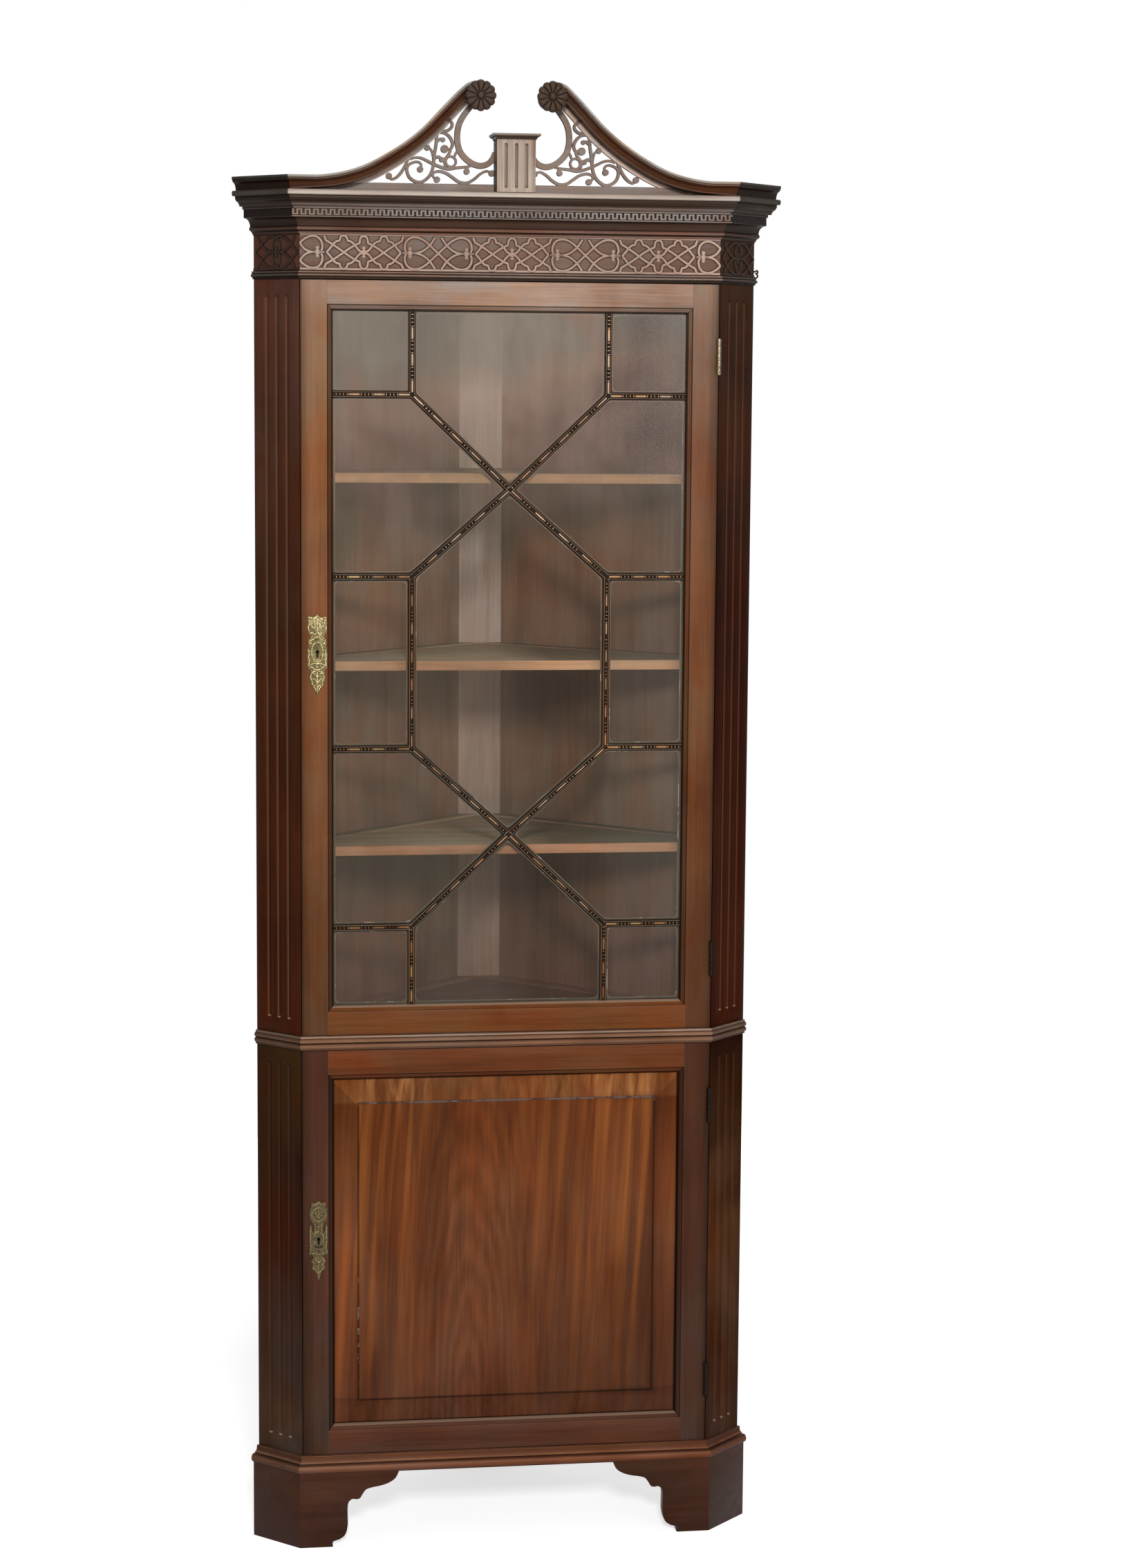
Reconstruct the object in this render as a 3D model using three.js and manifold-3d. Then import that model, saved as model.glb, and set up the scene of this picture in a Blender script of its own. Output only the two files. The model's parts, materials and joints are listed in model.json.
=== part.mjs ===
// Corner cupboard in two stages with a swan-neck pediment, a glazed upper door and a panelled lower door.
// Millimetres, +Z up, the front faces -Y, the two walls of the room meet behind it on the +Y side.
import * as THREE from 'three';
import { mergeVertices } from 'three/addons/utils/BufferGeometryUtils.js';
import Module from 'manifold-3d';

const wasm = await Module();
wasm.setup();

// Plan of the case: a flat front, two canted pilasters and two back boards along the walls
const frontHalf = 322;
const cantWidth = 93;
const cornerBoardHalf = 35;
const cornerBoardRear = 8.5;
const pilasterThick = 22;
const backThick = 10;

// Levels, from the floor up
const footHeight = 120;
const baseMouldingHeight = 26;
const lowerStageHeight = 650;
const waistHeight = 22;
const upperStageHeight = 1161;
const neckingHeight = 12;
const friezeHeight = 55;
const corniceHeight = 55;
const topBoardThick = 8;

// Running gaps
const seatGap = 0.3;
const doorSideGap = 1;
const doorEndGap = 1.5;
const slideGap = 0.4;
const cutOverrun = 2;

// Inner boards
const innerBoardThick = 16;
const shelfThick = 15;
const floorBoardThick = 19;
const shelfSetback = 12;
const boardSetback = 2;
const upperShelfShares = [0.245, 0.493, 0.742];
const lowerShelfShare = 0.5;
const plateGrooveInset = 34;
const plateGrooveWidth = 4;
const plateGrooveDepth = 2.5;

// Flutes of the pilasters
const fluteRadius = 4.5;
const fluteAxisOut = 1;
const fluteShares = [0.28, 0.5, 0.72];
const fluteEndInset = 24;

// Mouldings: how far each one stands out from the case
const baseProjection = 18;
const footProjection = 13;
const footThick = 20;
const waistProjection = 6.5;
const neckingProjection = 7;
const corniceProjection = 41.5;
const topBoardProjection = 48;

// Bracket feet
const bracketReach = 159;
const bracketShapedShare = 0.705;
const rearFootHalf = 70;
const rearFootSide = 33.5;

// Pediment
const swanHeight = 18;
const swanLift = 3;
const swanRise = 141.2;
const swanStraightInset = 22;
const fretThick = 8;
const fretRailHeight = 13;
const fretRimWidth = 13.5;
const fretURimWidth = 9;
const fretStrokeWidth = 5.2;
const fretFineWidth = 3.6;
const fretReachShare = 0.82;
const fretHeightShare = 0.85;
const rosetteRadius = 23.5;
const rosetteDepth = 8;
const rosettePetals = 12;
const rosetteScallopShare = 0.09;
const rosetteHollowShare = 0.45;
const eyeRadius = 18;
const plinthHalf = 29.2;
const plinthDepth = 44;
const plinthHeight = 78;
const plinthCapHeight = 8.3;
const plinthCapOverhang = 7.2;
const plinthFluteHalf = 2.3;
const plinthFluteDepth = 2.5;
const plinthFluteInset = 5.5;
const plinthFlutePitch = 15;

// Doors
const doorThick = 22;
const stileWidth = 40;
const upperRailWidth = 36;
const lowerRailWidth = 38;
const stickingWidth = 9;
const stickingQuirk = 1.2;
const stickingFallShare = 0.8;
const rebateDepth = 10;
const mitreGap = 0.2;
const glassThick = 2;
const barWidth = 11.5;
const barSetback = 1.2;
const barBeadShare = 0.62;
const latticeHalf = 151;
const latticeLevelShares = [0.114, 0.248, 0.3745, 0.6227, 0.7475, 0.882];
const panelThick = 5.5;
const panelMargin = 38;
const panelEdgeRise = 0.8;
const panelFieldSetback = 2.5;
const panelFieldStep = 1.6;

// Locks
const lockAcross = 24.5;
const upperLockShare = 0.5145;
const lowerLockShare = 0.538;
const escutcheonHalf = 15.5;
const escutcheonHeight = 123;
const escutcheonThick = 1.5;
const keyholeShare = 0.53;
const keyholeRadius = 2.6;
const keyholeDrop = 9;
const keyholeHalf = 1.5;
const lockCaseWidth = 34;
const lockCaseHalf = 30;
const lockCaseDepth = 11;
const boltHalf = 8;
const boltThick = 5;
const boltLength = 26;
const boltSetback = 3;
const boltThrow = 7;

// Butt hinges
const hingeLength = 55;
const hingeLeafThick = 1.6;
const hingeLeafGap = 0.6;
const hingeLeafDepth = 18;
const knuckleRadius = 3.2;
const knuckleCount = 5;
const knuckleGap = 0.35;
const pinRadius = 1.5;
const pinClearance = 0.4;
const upperHingeInset = 110;
const lowerHingeInset = 100;

// Moulding sections, each point as a share of the projection and a share of the height
const baseShares = [
  [0.017, 0], [0.72, 0], [0.82, 0.1], [1, 0.24], [1, 0.42], [0.86, 0.55], [0.5, 0.58],
  [0.42, 0.68], [0.36, 0.8], [0.28, 0.82], [0.26, 1], [0.017, 1],
];
const waistShares = [
  [0.046, 0], [0.5, 0], [0.5, 0.14], [0.85, 0.2], [1, 0.31], [0.85, 0.43], [0.5, 0.5],
  [0.85, 0.57], [1, 0.68], [0.85, 0.8], [0.5, 0.86], [0.5, 1], [0.046, 1],
];
const neckingShares = [
  [0.043, 0], [0.45, 0], [0.5, 0.22], [0.9, 0.3], [1, 0.46], [0.9, 0.6], [0.6, 0.68], [0.7, 0.8],
  [0.5, 1], [0.043, 1],
];
const corniceShares = [
  [0.007, 0], [0.08, 0], [0.09, 0.05], [0.21, 0.09], [0.235, 0.145], [0.2, 0.2], [0.19, 0.23],
  [0.22, 0.31], [0.31, 0.385], [0.44, 0.425], [0.53, 0.435], [0.53, 0.655], [0.6, 0.66], [0.6, 0.725],
  [0.76, 0.74], [0.78, 0.79], [0.86, 0.84], [0.95, 0.91], [0.985, 1], [0.007, 1],
];
const topBoardShares = [[0.95, 0], [0.99, 0.3], [1, 0.6], [0.98, 1]];
const swanShares = [
  [0.25, 0], [0.82, 0], [0.83, 0.17], [0.86, 0.36], [0.92, 0.53], [0.975, 0.65], [0.985, 0.74],
  [1, 0.76], [1, 1], [0.25, 1],
];
const plinthCapShares = [[0.15, 0], [0.3, 0.3], [0.75, 0.5], [0.85, 0.62], [1, 0.66], [1, 1]];
const stickingShares = [[0.28, 0.14], [0.6, 0.3], [0.86, 0.6], [1, 0.85]];
const rosetteShares = [[0.17, 0.92], [0.22, 0.45], [0.5, 0.7], [0.8, 0.78], [1, 0.3], [1, 0]];
// Centre line of the swan neck, from the mitre to the rosette: share of the half front, share of the rise
const swanLineShares = [
  [0.882, 0.018], [0.732, 0.085], [0.637, 0.187], [0.48, 0.409], [0.378, 0.616], [0.304, 0.796],
  [0.232, 0.96], [0.202, 1], [0.168, 1.012],
];

// Scroll fret: share of the reach from the plinth outwards, share of the height above the cornice
const fretScrollShares = [
  [[0.466, 0.281], [0.458, 0.327], [0.472, 0.367], [0.503, 0.369], [0.539, 0.331], [0.549, 0.264],
    [0.532, 0.178], [0.492, 0.127], [0.453, 0.128], [0.412, 0.19], [0.39, 0.27], [0.381, 0.363],
    [0.385, 0.456], [0.399, 0.528], [0.422, 0.55]],
  [[0.529, 0.404], [0.492, 0.427], [0.453, 0.416], [0.406, 0.372], [0.36, 0.331], [0.293, 0.293],
    [0.233, 0.309], [0.178, 0.321], [0.133, 0.342]],
  [[0.182, 0.321], [0.168, 0.292], [0.173, 0.263]],
  [[0.662, 0.193], [0.645, 0.154], [0.612, 0.182], [0.579, 0.256], [0.552, 0.357], [0.535, 0.425]],
  [[0.36, 0.158], [0.385, 0.197], [0.38, 0.242], [0.346, 0.261], [0.3, 0.237], [0.26, 0.185],
    [0.22, 0.133], [0.173, 0.122], [0.127, 0.168], [0.087, 0.236], [0.047, 0.273], [0.014, 0.246]],
  [[0.345, 0.767], [0.362, 0.682], [0.367, 0.576], [0.376, 0.469], [0.381, 0.363], [0.39, 0.257],
    [0.389, 0.197]],
  [[0.353, 0.738], [0.313, 0.733], [0.28, 0.685], [0.262, 0.606], [0.276, 0.539], [0.313, 0.538]],
  [[0.362, 0.616], [0.343, 0.656], [0.323, 0.65]],
  [[0.27, 0.55], [0.286, 0.473], [0.31, 0.393], [0.303, 0.3]],
  [[0.376, 0.417], [0.35, 0.438], [0.33, 0.405]],
  [[0.345, 0.762], [0.3, 0.762], [0.27, 0.805], [0.266, 0.858], [0.285, 0.892]],
];
const fretFineShares = [[[0.251, 0.433], [0.243, 0.48], [0.23, 0.53]]];
const fretURimShares = [
  [0.145, 1.083], [0.178, 0.996], [0.207, 0.908], [0.225, 0.82], [0.233, 0.713], [0.23, 0.608],
  [0.213, 0.502], [0.173, 0.411], [0.127, 0.355], [0.08, 0.337], [0.036, 0.367], [0.008, 0.425],
  [-0.009, 0.5],
];
// Round ends of the scrolls: place across, place up and radius, all as shares of the reach or the height
const fretBulbShares = [
  [0.466, 0.281, 0.02], [0.422, 0.55, 0.019], [0.173, 0.263, 0.019], [0.662, 0.193, 0.02],
  [0.36, 0.158, 0.02], [0.014, 0.246, 0.02], [0.313, 0.538, 0.025], [0.323, 0.65, 0.015],
  [0.33, 0.405, 0.017], [0.285, 0.892, 0.016],
];
const fretRingShare = [0.273, 0.383, 0.032];

// Bracket outline, from the floor up to the arch: share of the reach inwards, share of the foot's height
const bracketShares = [
  [0, 0], [0, 0.07], [0.17, 0.15], [0.205, 0.3], [0.205, 0.52], [0.25, 0.625], [0.36, 0.635],
  [0.44, 0.74], [0.56, 0.79], [0.75, 0.83], [0.88, 0.9], [0.93, 1],
];
// Escutcheon outline, right half from the top down: share of the half width, share of the height
const escutcheonShares = [
  [0, 1], [0.35, 0.96], [0.9, 0.975], [0.97, 0.87], [0.92, 0.77], [0.6, 0.72], [0.9, 0.69], [0.86, 0.6],
  [1, 0.55], [0.97, 0.38], [1, 0.33], [0.68, 0.3], [0.8, 0.21], [0.62, 0.12], [0.28, 0.07], [0.1, 0],
];

// Worked-out places
const rootHalf = Math.SQRT1_2;
const mitreShare = Math.tan(Math.PI / 8);
const cantReach = cantWidth * rootHalf;
const wallSum = frontHalf + 2 * cantReach;
const pilasterInner = frontHalf - pilasterThick * Math.SQRT2;
const backInner = wallSum - backThick * Math.SQRT2;
const cornerFront = backInner - cornerBoardHalf;
const cornerBack = cornerFront + backThick * rootHalf + cornerBoardRear;
const baseTop = footHeight + baseMouldingHeight;
const floorBoardBottom = baseTop - floorBoardThick;
const waistBottom = baseTop + lowerStageHeight;
const waistTop = waistBottom + waistHeight;
const neckingBottom = waistTop + upperStageHeight;
const friezeBottom = neckingBottom + neckingHeight;
const corniceBottom = friezeBottom + friezeHeight;
const corniceTop = corniceBottom + corniceHeight;
const topBoardTop = corniceTop + topBoardThick;
const swanLow = topBoardTop + swanLift + swanHeight / 2;
const swanBack = -swanShares[0][0] * topBoardProjection;
const pedimentBack = swanBack + fretThick;
const fretReach = fretReachShare * (frontHalf - plinthHalf);
const fretHeight = fretHeightShare * swanRise;
const [rosetteOut, swanEnd] = [
  swanLineShares.at(-1)[0] * frontHalf, swanLow + swanLineShares.at(-1)[1] * swanRise,
];
const rosetteLevel = swanEnd - eyeRadius + swanHeight / 4;
const doorHalf = frontHalf - doorSideGap;
const openingHalf = doorHalf - stileWidth;
const sightHalf = openingHalf - stickingWidth;
const lockX = -(doorHalf - lockAcross);
const hingeX = frontHalf - doorSideGap / 2;

const wood = {
  pilaster: [0x4a2418, 0.45],
  case: [0x5d3320, 0.6],
  cornice: [0x4b362c, 0.5],
  frieze: [0x8a6a58, 0.6],
  door: [0x7d4a2c, 0.45],
  lowerDoor: [0x55291c, 0.42],
  panel: [0x8d4a22, 0.38],
  carved: [0x3c2a24, 0.5],
  fret: [0x857268, 0.65],
  swan: [0x6b3f2c, 0.5],
  shelf: [0xa5714d, 0.6],
};
const metal = { brass: [0x9c8f55, 0.4], iron: [0x4d4a47, 0.55] };

const group = new THREE.Group();

function material([color, roughness], metalness = 0) {
  return new THREE.MeshStandardMaterial({ color, roughness, metalness });
}

// A welded copy of a geometry that holds positions only
function weld(geometry) {
  const copy = geometry.clone();
  copy.deleteAttribute('normal');
  copy.deleteAttribute('uv');
  return mergeVertices(copy);
}

// Turns a closed surface outwards when its signed volume is negative
function outward(geometry) {
  const points = geometry.attributes.position;
  const index = Array.from(geometry.index.array);
  const [a, b, c] = [new THREE.Vector3(), new THREE.Vector3(), new THREE.Vector3()];
  let volume = 0;
  for (let k = 0; k < index.length; k += 3) {
    a.fromBufferAttribute(points, index[k]);
    b.fromBufferAttribute(points, index[k + 1]);
    c.fromBufferAttribute(points, index[k + 2]);
    volume += a.dot(b.cross(c));
  }
  if (volume < 0) {
    for (let k = 0; k < index.length; k += 3) {
      [index[k], index[k + 1]] = [index[k + 1], index[k]];
    }
    geometry.setIndex(index);
  }
  return geometry;
}

function solid(geometry) {
  const closed = outward(weld(geometry));
  const vertProperties = new Float32Array(closed.attributes.position.array);
  const triVerts = new Uint32Array(closed.index.array);
  return new wasm.Manifold(new wasm.Mesh({ numProp: 3, vertProperties, triVerts }));
}

function fromSolid(body) {
  const mesh = body.getMesh();
  const geometry = new THREE.BufferGeometry();
  geometry.setAttribute('position', new THREE.BufferAttribute(mesh.vertProperties, 3));
  geometry.setIndex(new THREE.BufferAttribute(mesh.triVerts, 1));
  return geometry;
}

function join(geometries) {
  return fromSolid(geometries.map(solid).reduce((sum, next) => sum.add(next)));
}

function cut(geometry, cutters) {
  return fromSolid(cutters.map(solid).reduce((rest, next) => rest.subtract(next), solid(geometry)));
}

function addPart(name, geometry, look, metalness) {
  const shown = outward(weld(geometry)).toNonIndexed();
  shown.computeVertexNormals();
  const mesh = new THREE.Mesh(shown, material(look, metalness));
  mesh.name = name;
  group.add(mesh);
}

// The mirror image of a geometry across the middle of the cupboard
function mirrored(geometry) {
  return outward(weld(geometry).scale(-1, 1, 1));
}

function box(x0, x1, y0, y1, z0, z1) {
  const geometry = new THREE.BoxGeometry(x1 - x0, y1 - y0, z1 - z0);
  return geometry.translate((x0 + x1) / 2, (y0 + y1) / 2, (z0 + z1) / 2);
}

// A plan outline raised from z0 to z1
function prism(points, z0, z1) {
  const shape = new THREE.Shape(points.map(([x, y]) => new THREE.Vector2(x, y)));
  const geometry = new THREE.ExtrudeGeometry(shape, { depth: z1 - z0, bevelEnabled: false });
  return geometry.translate(0, 0, z0);
}

// A front view shape given depth from y0 back to y1
function slab(shape, y0, y1, curveSegments) {
  const settings = { depth: y1 - y0, bevelEnabled: false, curveSegments };
  return new THREE.ExtrudeGeometry(shape, settings).rotateX(Math.PI / 2).translate(0, y1, 0);
}

function frontShape(points) {
  return new THREE.Shape(points.map(([x, z]) => new THREE.Vector2(x, z)));
}

// Joins rings of equal point count into one closed skin, with the section's outline for the two end caps
function loft(rings, outline) {
  const section = outline.map(([a, b]) => new THREE.Vector2(a, b));
  const turned = THREE.ShapeUtils.isClockWise(section);
  const caps = THREE.ShapeUtils.triangulateShape(turned ? section.slice().reverse() : section, []);
  const ordered = rings.map((ring) => (turned ? ring.slice().reverse() : ring));
  const count = section.length;
  const last = (rings.length - 1) * count;
  const index = [];
  for (let k = 0; k < rings.length - 1; k += 1) {
    for (let j = 0; j < count; j += 1) {
      const here = k * count + j;
      const next = k * count + (j + 1) % count;
      index.push(here, next, next + count, here, next + count, here + count);
    }
  }
  caps.forEach(([a, b, c]) => index.push(a, c, b, last + a, last + b, last + c));
  const geometry = new THREE.BufferGeometry();
  const positions = ordered.flat().flatMap((point) => point.toArray());
  geometry.setAttribute('position', new THREE.Float32BufferAttribute(positions, 3));
  geometry.setIndex(index);
  return geometry;
}

// The case's visible line at a distance out from it: wall end, mitre, mitre, wall end
function caseLine(out) {
  const endX = frontHalf + cantReach + out * rootHalf;
  const endY = cantReach - out * rootHalf;
  const mitreX = frontHalf + out * mitreShare;
  return [[-endX, endY], [-mitreX, -out], [mitreX, -out], [endX, endY]];
}

// The case's whole outline in plan, closed along the walls and across the corner
function caseOutline(out) {
  const cornerX = wallSum - cornerBack;
  return [...caseLine(out), [cornerX, cornerBack], [-cornerX, cornerBack]];
}

// A moulding mitred round the case, from a table of section shares
function mouldedRun(shares, projection, bottom, height) {
  const section = shares.map(([out, up]) => [out * projection, bottom + up * height]);
  const stations = caseLine(0).length;
  const rings = Array.from({ length: stations }, (_, k) => section.map(([out, z]) => {
    const [x, y] = caseLine(out)[k];
    return new THREE.Vector3(x, y, z);
  }));
  return loft(rings, section);
}

// The outline of the room inside the case, held off its walls by the seat gap
function innerOutline(frontY) {
  const pilasterLine = pilasterInner - seatGap * Math.SQRT2;
  const backLine = backInner - seatGap * Math.SQRT2;
  const rearY = cornerFront - seatGap;
  const kneeY = (backLine - pilasterLine) / 2;
  const right = [[pilasterLine + frontY, frontY], [backLine - kneeY, kneeY], [backLine - rearY, rearY]];
  const left = right.map(([x, y]) => [-x, y]).reverse();
  return [...right, ...left];
}

// A point on the right-hand cant, at a distance along it from the mitre and out from its face
function cantPoint(along, out) {
  return [frontHalf + (along + out) * rootHalf, (along - out) * rootHalf];
}

// A rod with round ends, standing upright
function roundedRod(radius, bottom, top) {
  const low = bottom + radius;
  const high = top - radius;
  const bend = radius * rootHalf;
  const profile = [
    [0, bottom], [bend, low - bend], [radius, low], [radius, high], [bend, high + bend], [0, top],
  ];
  return new THREE.LatheGeometry(profile.map(([r, z]) => new THREE.Vector2(r, z)), 8).rotateX(Math.PI / 2);
}

function pilaster(bottom, top, fluteBottom, fluteTop) {
  const [endX, endY] = cantPoint(cantWidth, 0);
  const inset = pilasterThick * rootHalf;
  const plan = [[frontHalf, 0], [endX, endY], [endX - inset, endY + inset],
    [frontHalf, frontHalf - pilasterInner]];
  const flutes = fluteShares.map((share) => {
    const [x, y] = cantPoint(share * cantWidth, fluteAxisOut);
    return roundedRod(fluteRadius, fluteBottom, fluteTop).translate(x, y, 0);
  });
  return cut(prism(plan, bottom, top), flutes);
}

function hingeRecess(middle) {
  const low = middle - hingeLength / 2 - seatGap;
  const high = middle + hingeLength / 2 + seatGap;
  const depth = hingeLeafDepth + seatGap;
  const leafOut = hingeLeafGap / 2 + hingeLeafThick + seatGap;
  return {
    door: box(hingeX - leafOut, hingeX, -cutOverrun, depth, low, high),
    pilaster: box(hingeX, hingeX + leafOut, -cutOverrun, depth, low, high),
  };
}

function boltMortise(lockZ) {
  const reach = boltThrow + boltSetback;
  const [front, back] = boltDepths();
  const half = boltHalf + slideGap;
  return box(-frontHalf - reach, -frontHalf + cutOverrun, front - slideGap, back + slideGap,
    lockZ - half, lockZ + half);
}

function boltDepths() {
  const front = doorThick - lockCaseDepth + boltSetback;
  return [front, front + boltThick];
}

// A back board along the right-hand wall
function backBoard(bottom, top) {
  const start = pilasterThick + seatGap;
  const wallLength = (frontHalf + cantReach - cornerBoardHalf) * Math.SQRT2 - backThick;
  const end = wallLength - seatGap;
  const [x0, y0] = cantPoint(cantWidth, 0);
  const place = (along, out) => [x0 + (out - along) * rootHalf, y0 + (out + along) * rootHalf];
  return prism([place(start, 0), place(end, 0), place(end, -backThick), place(start, -backThick)],
    bottom, top);
}

function cornerBoard(bottom, top) {
  const shoulder = cornerBoardHalf + backThick * rootHalf;
  const shoulderY = cornerFront + backThick * rootHalf;
  const rearX = wallSum - cornerBack;
  const half = [[cornerBoardHalf, cornerFront], [shoulder, shoulderY], [rearX, cornerBack]];
  return prism([...half, ...half.map(([x, y]) => [-x, y]).reverse()], bottom, top);
}

// A board with a groove that holds plates upright, parallel to the two walls
function groovedBoard(bottom, thick, frontY) {
  const board = prism(innerOutline(frontY), bottom, bottom + thick);
  const top = bottom + thick;
  const line = backInner - plateGrooveInset * Math.SQRT2;
  const spread = plateGrooveWidth * rootHalf;
  const near = frontY + plateGrooveInset;
  const arms = (sum) => [[near - sum, near], [0, sum], [sum - near, near]];
  const plan = [...arms(line + spread), ...arms(line - spread).reverse()];
  return cut(board, [prism(plan, top - plateGrooveDepth, top + cutOverrun)]);
}

function upperCase() {
  const hinges = hingeCentres(doorLevels.upper, upperHingeInset).map((z) => hingeRecess(z).pilaster);
  const flutes = [waistTop + fluteEndInset, neckingBottom - fluteEndInset];
  const plain = pilaster(waistTop, corniceTop, ...flutes);
  addPart('upper_pilaster_left', cut(mirrored(plain), [boltMortise(doorLevels.upper.lock)]), wood.pilaster);
  addPart('upper_pilaster_right', cut(plain, hinges), wood.pilaster);
  const back = backBoard(waistTop, corniceTop);
  addPart('upper_back_left', mirrored(back), wood.case);
  addPart('upper_back_right', back, wood.case);
  addPart('upper_corner_board', cornerBoard(waistTop, corniceTop), wood.case);
  const innerFront = doorThick + boardSetback;
  addPart('upper_floor_board', groovedBoard(waistTop, innerBoardThick, innerFront), wood.case);
  const ceiling = prism(innerOutline(doorThick), neckingBottom, neckingBottom + innerBoardThick);
  addPart('upper_top_board', ceiling, wood.case);
  const room = neckingBottom - waistTop;
  ['shelf_bottom', 'shelf_middle', 'shelf_top'].forEach((name, k) => {
    const level = waistTop + upperShelfShares[k] * room - shelfThick / 2;
    addPart(name, groovedBoard(level, shelfThick, doorThick + shelfSetback), wood.shelf);
  });
}

function entablature() {
  const rail = box(-frontHalf, frontHalf, 0, doorThick, neckingBottom, corniceTop);
  addPart('frieze_rail', rail, wood.frieze);
  const necking = mouldedRun(neckingShares, neckingProjection, neckingBottom, neckingHeight);
  addPart('necking_moulding', necking, wood.cornice);
  const cornice = mouldedRun(corniceShares, corniceProjection, corniceBottom, corniceHeight);
  addPart('cornice_moulding', cornice, wood.cornice);
  const layers = topBoardShares.map(([out, up]) => ({
    outline: caseOutline(out * topBoardProjection), z: corniceTop + up * topBoardThick,
  }));
  const rings = layers.map(({ outline, z }) => outline.map(([x, y]) => new THREE.Vector3(x, y, z)));
  addPart('cornice_top_board', loft(rings, layers[0].outline), wood.fret);
}

// The swan neck's centre line in front view, on the right-hand side
function swanCentre() {
  const points = swanLineShares.map(([across, up]) => new THREE.Vector2(
    across * frontHalf, swanLow + up * swanRise,
  ));
  return new THREE.SplineCurve(points);
}

// Points and upward normals along the swan neck, sampled evenly
function swanStations(count) {
  const line = swanCentre();
  return Array.from({ length: count + 1 }, (_, k) => {
    const point = line.getPointAt(k / count);
    const tangent = line.getTangentAt(k / count);
    return { point, normal: new THREE.Vector2(tangent.y, -tangent.x) };
  });
}

// The cant return and the mitre sit on the top board, and the neck lifts off it as it leaves the mitre
function swanNeck() {
  const section = swanShares.map(([out, up]) => [out * topBoardProjection, (up - 1 / 2) * swanHeight]);
  const seated = (up) => swanLow + up + Math.min(up, 0) * (2 * swanLift) / swanHeight;
  const cantRing = (station) => section.map(([out, up]) => {
    const [x, y] = caseLine(out)[station];
    return new THREE.Vector3(x, y, seated(up));
  });
  const straight = section.map(([out, up]) => new THREE.Vector3(
    frontHalf - swanStraightInset, -out, swanLow + up,
  ));
  const curved = swanStations(22).map(({ point, normal }) => section.map(([out, up]) => (
    new THREE.Vector3(point.x + normal.x * up, -out, point.y + normal.y * up)
  )));
  const neck = loft([cantRing(3), cantRing(2), straight, ...curved], section);
  return join([neck, disc(rosetteOut, rosetteLevel, eyeRadius, -topBoardProjection, swanBack, 24)]);
}

// A round disc seen from the front, between two depths
function disc(x, z, radius, y0, y1, sides) {
  return new THREE.CylinderGeometry(radius, radius, y1 - y0, sides).translate(x, (y0 + y1) / 2, z);
}

// A stroke of even width along a spline in front view
function stroke(points, width, steps) {
  const line = new THREE.SplineCurve(points.map(([x, z]) => new THREE.Vector2(x, z)));
  const count = steps * (points.length - 1);
  const sides = [1, -1].map((side) => Array.from({ length: count + 1 }, (_, k) => {
    const point = line.getPoint(k / count);
    const tangent = line.getTangent(k / count);
    return [point.x - tangent.y * side * width / 2, point.y + tangent.x * side * width / 2];
  }));
  return frontShape([...sides[0], ...sides[1].reverse()]);
}

// The pierced tympanum on the right of the plinth
function scrollFret() {
  const [front, back] = [swanBack, pedimentBack];
  const place = ([across, up]) => [plinthHalf + across * fretReach, topBoardTop + up * fretHeight];
  const scroll = (shares, width) => slab(stroke(shares.map(place), width, 2), front, back);
  const rim = swanStations(14).slice(1, -1).map(({ point, normal }) => (
    [point.x - normal.x * swanHeight / 2, point.y - normal.y * swanHeight / 2]
  ));
  const bars = fretScrollShares.map((shares) => scroll(shares, fretStrokeWidth));
  const fine = fretFineShares.map((shares) => scroll(shares, fretFineWidth));
  const bulbs = fretBulbShares.map(([across, up, size]) => {
    const [x, z] = place([across, up]);
    return disc(x, z, size * fretReach, front, back, 12);
  });
  const [ringX, ringZ] = place(fretRingShare);
  const ring = cut(disc(ringX, ringZ, fretRingShare[2] * fretReach + fretFineWidth / 2, front, back, 16),
    [disc(ringX, ringZ, fretRingShare[2] * fretReach - fretFineWidth / 2, front - cutOverrun,
      back + cutOverrun, 16)]);
  const railEnd = rim[0][0];
  const rail = box(plinthHalf, railEnd, front, back, topBoardTop, topBoardTop + fretRailHeight);
  const rims = [slab(stroke(rim, fretRimWidth, 1), front, back), scroll(fretURimShares, fretURimWidth)];
  const fret = join([rail, ...rims, ...bars, ...fine, ...bulbs, ring]);
  const beyond = box(-plinthHalf, plinthHalf, front - cutOverrun, back + cutOverrun,
    topBoardTop, topBoardTop + fretHeight);
  const under = box(0, frontHalf, front - cutOverrun, back + cutOverrun,
    topBoardTop - fretRailHeight, topBoardTop);
  return cut(fret, [beyond, under]);
}

// A flower of scalloped petals with a round boss, facing the front
function rosette() {
  const steps = rosettePetals * 6;
  const bossShare = rosetteShares[1][0];
  const rings = rosetteShares.map(([share, height]) => Array.from({ length: steps }, (_, k) => {
    const turn = (2 * Math.PI * k) / steps;
    const valley = share > bossShare ? 1 - Math.abs(Math.cos(turn * rosettePetals / 2)) : 0;
    const radius = share * rosetteRadius * (1 - rosetteScallopShare * valley);
    const lift = height * rosetteDepth * (1 - rosetteHollowShare * valley);
    return new THREE.Vector3(radius * Math.cos(turn), -lift, radius * Math.sin(turn));
  }));
  const outline = rings.at(-1).map((point) => [point.x, point.z]);
  return loft(rings, outline).translate(rosetteOut, -topBoardProjection, rosetteLevel);
}

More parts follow.
